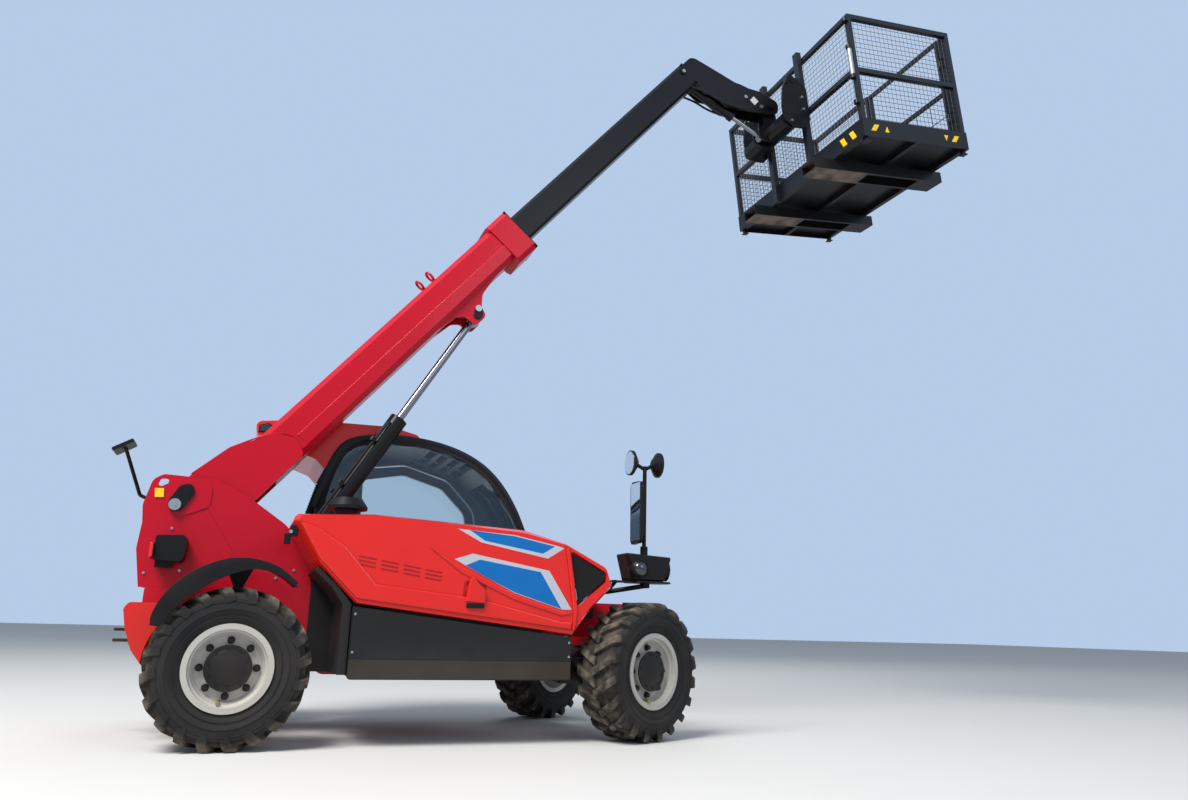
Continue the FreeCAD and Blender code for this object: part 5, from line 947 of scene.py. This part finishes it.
conduit = [Vector(point) for point in ((0.352, 0.150, 0.90), (0.350, 0.150, 1.12), (0.372, 0.150, 1.34),
                                       (0.420, 0.150, 1.53), (0.500, 0.150, 1.70))]
line("cab_conduit", conduit, 0.020, MACHINE, SEAL, "chassis")
ribs = bmesh.new()
for index in range(RIBS):
    share = index / (RIBS - 1) * (len(conduit) - 1)
    first = min(int(share), len(conduit) - 2)
    here = conduit[first].lerp(conduit[first + 1], share - first)
    way = (conduit[first + 1] - conduit[first]).normalized()
    add_bar(ribs, here - way * 0.004, here + way * 0.004, 0.0235, 14)
add_piece("cab_conduit_ribs", ribs, MACHINE, SEAL, "chassis")
for index in range(2):
    y = 0.190 + 0.032 * index
    line("cab_line_%d" % index, [(0.372, y, 0.90), (0.370, y, 1.10), (0.384, y, 1.32), (0.436, y, 1.56),
                                 (0.500, y, 1.70)], 0.012, MACHINE, SEAL, "chassis")
plates("roof_lamp_rim", [[(0.004, 1.846), (0.006, 1.896), (0.060, 1.914), (0.104, 1.892), (0.060, 1.850)]],
       0.1115, 0.1195, MACHINE, PLASTIC, "chassis", 0.002)
plates("roof_lamp_glass", [[(0.014, 1.852), (0.015, 1.888), (0.058, 1.903), (0.090, 1.888), (0.056, 1.857)]],
       0.1085, 0.1120, MACHINE, GLOSS_BLACK, "chassis", 0.001)

# %% [markdown]
# ## Door
# The door is opened by a small handle. It is a bevelled bar, which is what shows of it from a step away,
# and it rides on the door's leaf so that it swings with the door.

# %% Door handle
blocks("door_handle", [(1.52, 1.66, 0.8975, 0.912, 0.93, 0.962)], MACHINE, PLASTIC, "cab_door_leaf", 0.005)

# %% [markdown]
# ## Chair
# The driver's chair has two crowned pads with sewn channels. Each starts as a subdivided box whose points
# are moved out in the middle and drawn in along the seams; a subdivision surface smooths it. Cloth simulation
# could do the same, but the pads are small, stiff and behind glass. The bellows under it are stacked blocks.

# %% Chair: crowned pads with sewn channels
CUTS = 11
CHANNELS = 3


def pad_shape(build, centre, size, crown, lean):
    """Crowned pad: a subdivided box whose faces swell between its edges, with sewn channels along X."""
    made = bmesh.ops.create_cube(build, size=1.0)
    edges = list({edge for vert in made["verts"] for edge in vert.link_edges})
    bmesh.ops.subdivide_edges(build, edges=edges, cuts=CUTS, use_grid_fill=True)
    for vert in [vert for vert in build.verts if not vert.tag]:
        x, y, z = vert.co * 2
        swell = max(0.0, 1 - abs(x) ** 4) * max(0.0, 1 - abs(y) ** 4)
        pull = 1 - 0.06 * (abs(x) ** 6) * (abs(y) ** 6)
        channel = 0.12 * crown * math.cos(CHANNELS * math.pi * y) ** 16
        up = z * size[2] / 2 + math.copysign(crown * swell - channel * swell, z)
        spot = Vector((x * size[0] / 2 * pull, y * size[1] / 2 * pull, up))
        spot.rotate(Matrix.Rotation(math.radians(lean), 3, "Y"))
        vert.co = spot + Vector(centre)
        vert.tag = True


build = bmesh.new()
pad_shape(build, (0.885, CAB_Y, 0.965), (0.42, 0.42, 0.06), 0.022, -4)
pad_shape(build, (0.655, CAB_Y, 1.245), (0.42, 0.40, 0.06), 0.020, -83)
chair = add_piece("chair_pads", build, MACHINE, CHAIR, "chassis", True)
soften = chair.modifiers.new("Soften", "SUBSURF")
soften.levels = 1
soften.render_levels = 1
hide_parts("seat")

# %% Chair: bellows foot
FOLDS, FOLD_PITCH = 6, 0.045

bellows = []
for step in range(FOLDS):
    z = 0.60 + FOLD_PITCH * step
    grow = 0.012 if step % 2 else 0.0
    bellows.append((0.72 - grow, 1.02 + grow, CAB_Y - 0.15 - grow, CAB_Y + 0.15 + grow, z, z + 0.044))
build = bmesh.new()
for fold in bellows:
    add_block(build, *fold, 0.006)
add_block(build, 0.70, 1.06, CAB_Y - 0.19, CAB_Y + 0.19, 0.872, 0.925, 0.01)
add_piece("chair_foot", build, MACHINE, SEAL, "chassis")

# %% [markdown]
# ## Floor and background
# The machine stands on a plain pale floor that keeps its shadow. The light from the world is weaker than
# what the camera and the reflections see: Light Path tells the rays apart, so that the background is a pale
# blue and the metal and glass show it too, without more light on the object.

# %% Floor and background
FLOOR_HALF = 60

build = bmesh.new()
bmesh.ops.create_grid(build, x_segments=1, y_segments=1, size=FLOOR_HALF)
floor_mesh = bpy.data.meshes.new("Floor")
build.to_mesh(floor_mesh)
build.free()
floor_mesh.materials.append(finish("Floor", (0.62, 0.62, 0.61), rough=0.9, dust=0.0, mottle=0.02, bump=0.0))
floor = bpy.data.objects.new("Floor", floor_mesh)
scene = bpy.context.scene
scene.collection.objects.link(floor)

world = bpy.data.worlds.new("Studio")
scene.world = world
world.use_nodes = True
tree = world.node_tree
sky = tree.nodes["Background"]
sky.inputs["Color"].default_value = (0.72, 0.83, 0.98, 1)
sky.inputs["Strength"].default_value = 0.44
backdrop = add_node(tree, "Background", {"Color": (0.47, 0.60, 0.80, 1)})
rays = add_node(tree, "LightPath").outputs
direct = calculate(tree, "MAXIMUM", rays["Is Camera Ray"], rays["Is Glossy Ray"])
seen = calculate(tree, "MAXIMUM", direct, rays["Is Transmission Ray"])
pick = add_node(tree, "MixShader", {0: seen, 1: sky.outputs[0], 2: backdrop.outputs[0]})
tree.links.new(pick.outputs[0], tree.nodes["World Output"].inputs["Surface"])
print("floor", 2 * FLOOR_HALF, "m wide, world with", len(tree.nodes), "nodes")

# %% [markdown]
# ## Lamps
# Three large soft lamps stand round the machine: a warm one high behind it on the right, a cool weak one on
# the camera's side and one on the left that lifts the dark side. A sun lamp would be simpler, but its
# shadows have hard edges. The one on the left isn't seen by glossy rays, because its image in the curved
# paint was broken up by the facets.

# %% Lamps
def lamp(name, place, target, width, power, color=(1, 1, 1)):
    """A square soft light that points at a target."""
    data = bpy.data.lights.new(name, "AREA")
    data.shape = "SQUARE"
    data.size = width
    data.energy = power
    data.color = color
    item = bpy.data.objects.new(name, data)
    item.location = place
    item.rotation_euler = (Vector(target) - Vector(place)).to_track_quat("-Z", "Y").to_euler()
    scene.collection.objects.link(item)
    print("lamp", name, power, "W")
    return item


lamp("Key", (-8, -6, 12), (-0.5, 0, 1.8), 6, 2900, (1.0, 0.97, 0.92))
lamp("Fill", (5, -11, 7), (0, 0, 2), 6, 230, (0.9, 0.95, 1.0))
back = lamp("Back", (4, 10, 11), (0, 0, 2.5), 8, 330)
back.visible_glossy = False

# %% [markdown]
# ## Camera
# The camera stands low on the machine's right side and looks up along the boom. Its place, turn and focal
# length come from matching points of the machine to the photograph's view. The lens is worked out from the
# photograph's width in pixels, so it holds for any size of render.

# %% Camera at the photograph's place and angle
CAMERA_PLACE = (REAR_AXLE + 0.032, -6.008, 0.664)
YAW, PITCH_UP, ROLL = 0.3618, 0.2496, 0.0259
PHOTO_WIDTH = 1188
FOCAL_PIXELS = 890
SENSOR = 36.0

look = Vector((math.sin(YAW) * math.cos(PITCH_UP), math.cos(YAW) * math.cos(PITCH_UP), math.sin(PITCH_UP)))
right = Vector((math.cos(YAW), -math.sin(YAW), 0))
up = right.cross(look)
right, up = (right * math.cos(ROLL) + up * math.sin(ROLL), up * math.cos(ROLL) - right * math.sin(ROLL))
data = bpy.data.cameras.new("Photo camera")
data.sensor_width = SENSOR
data.lens = SENSOR * FOCAL_PIXELS / PHOTO_WIDTH
camera = bpy.data.objects.new("Photo camera", data)
camera.matrix_world = Matrix.Translation(CAMERA_PLACE) @ Matrix((right, up, -look)).transposed().to_4x4()
scene.collection.objects.link(camera)
scene.camera = camera
scene.view_settings.view_transform = "Standard"
print("camera lens", round(data.lens, 2), "mm")
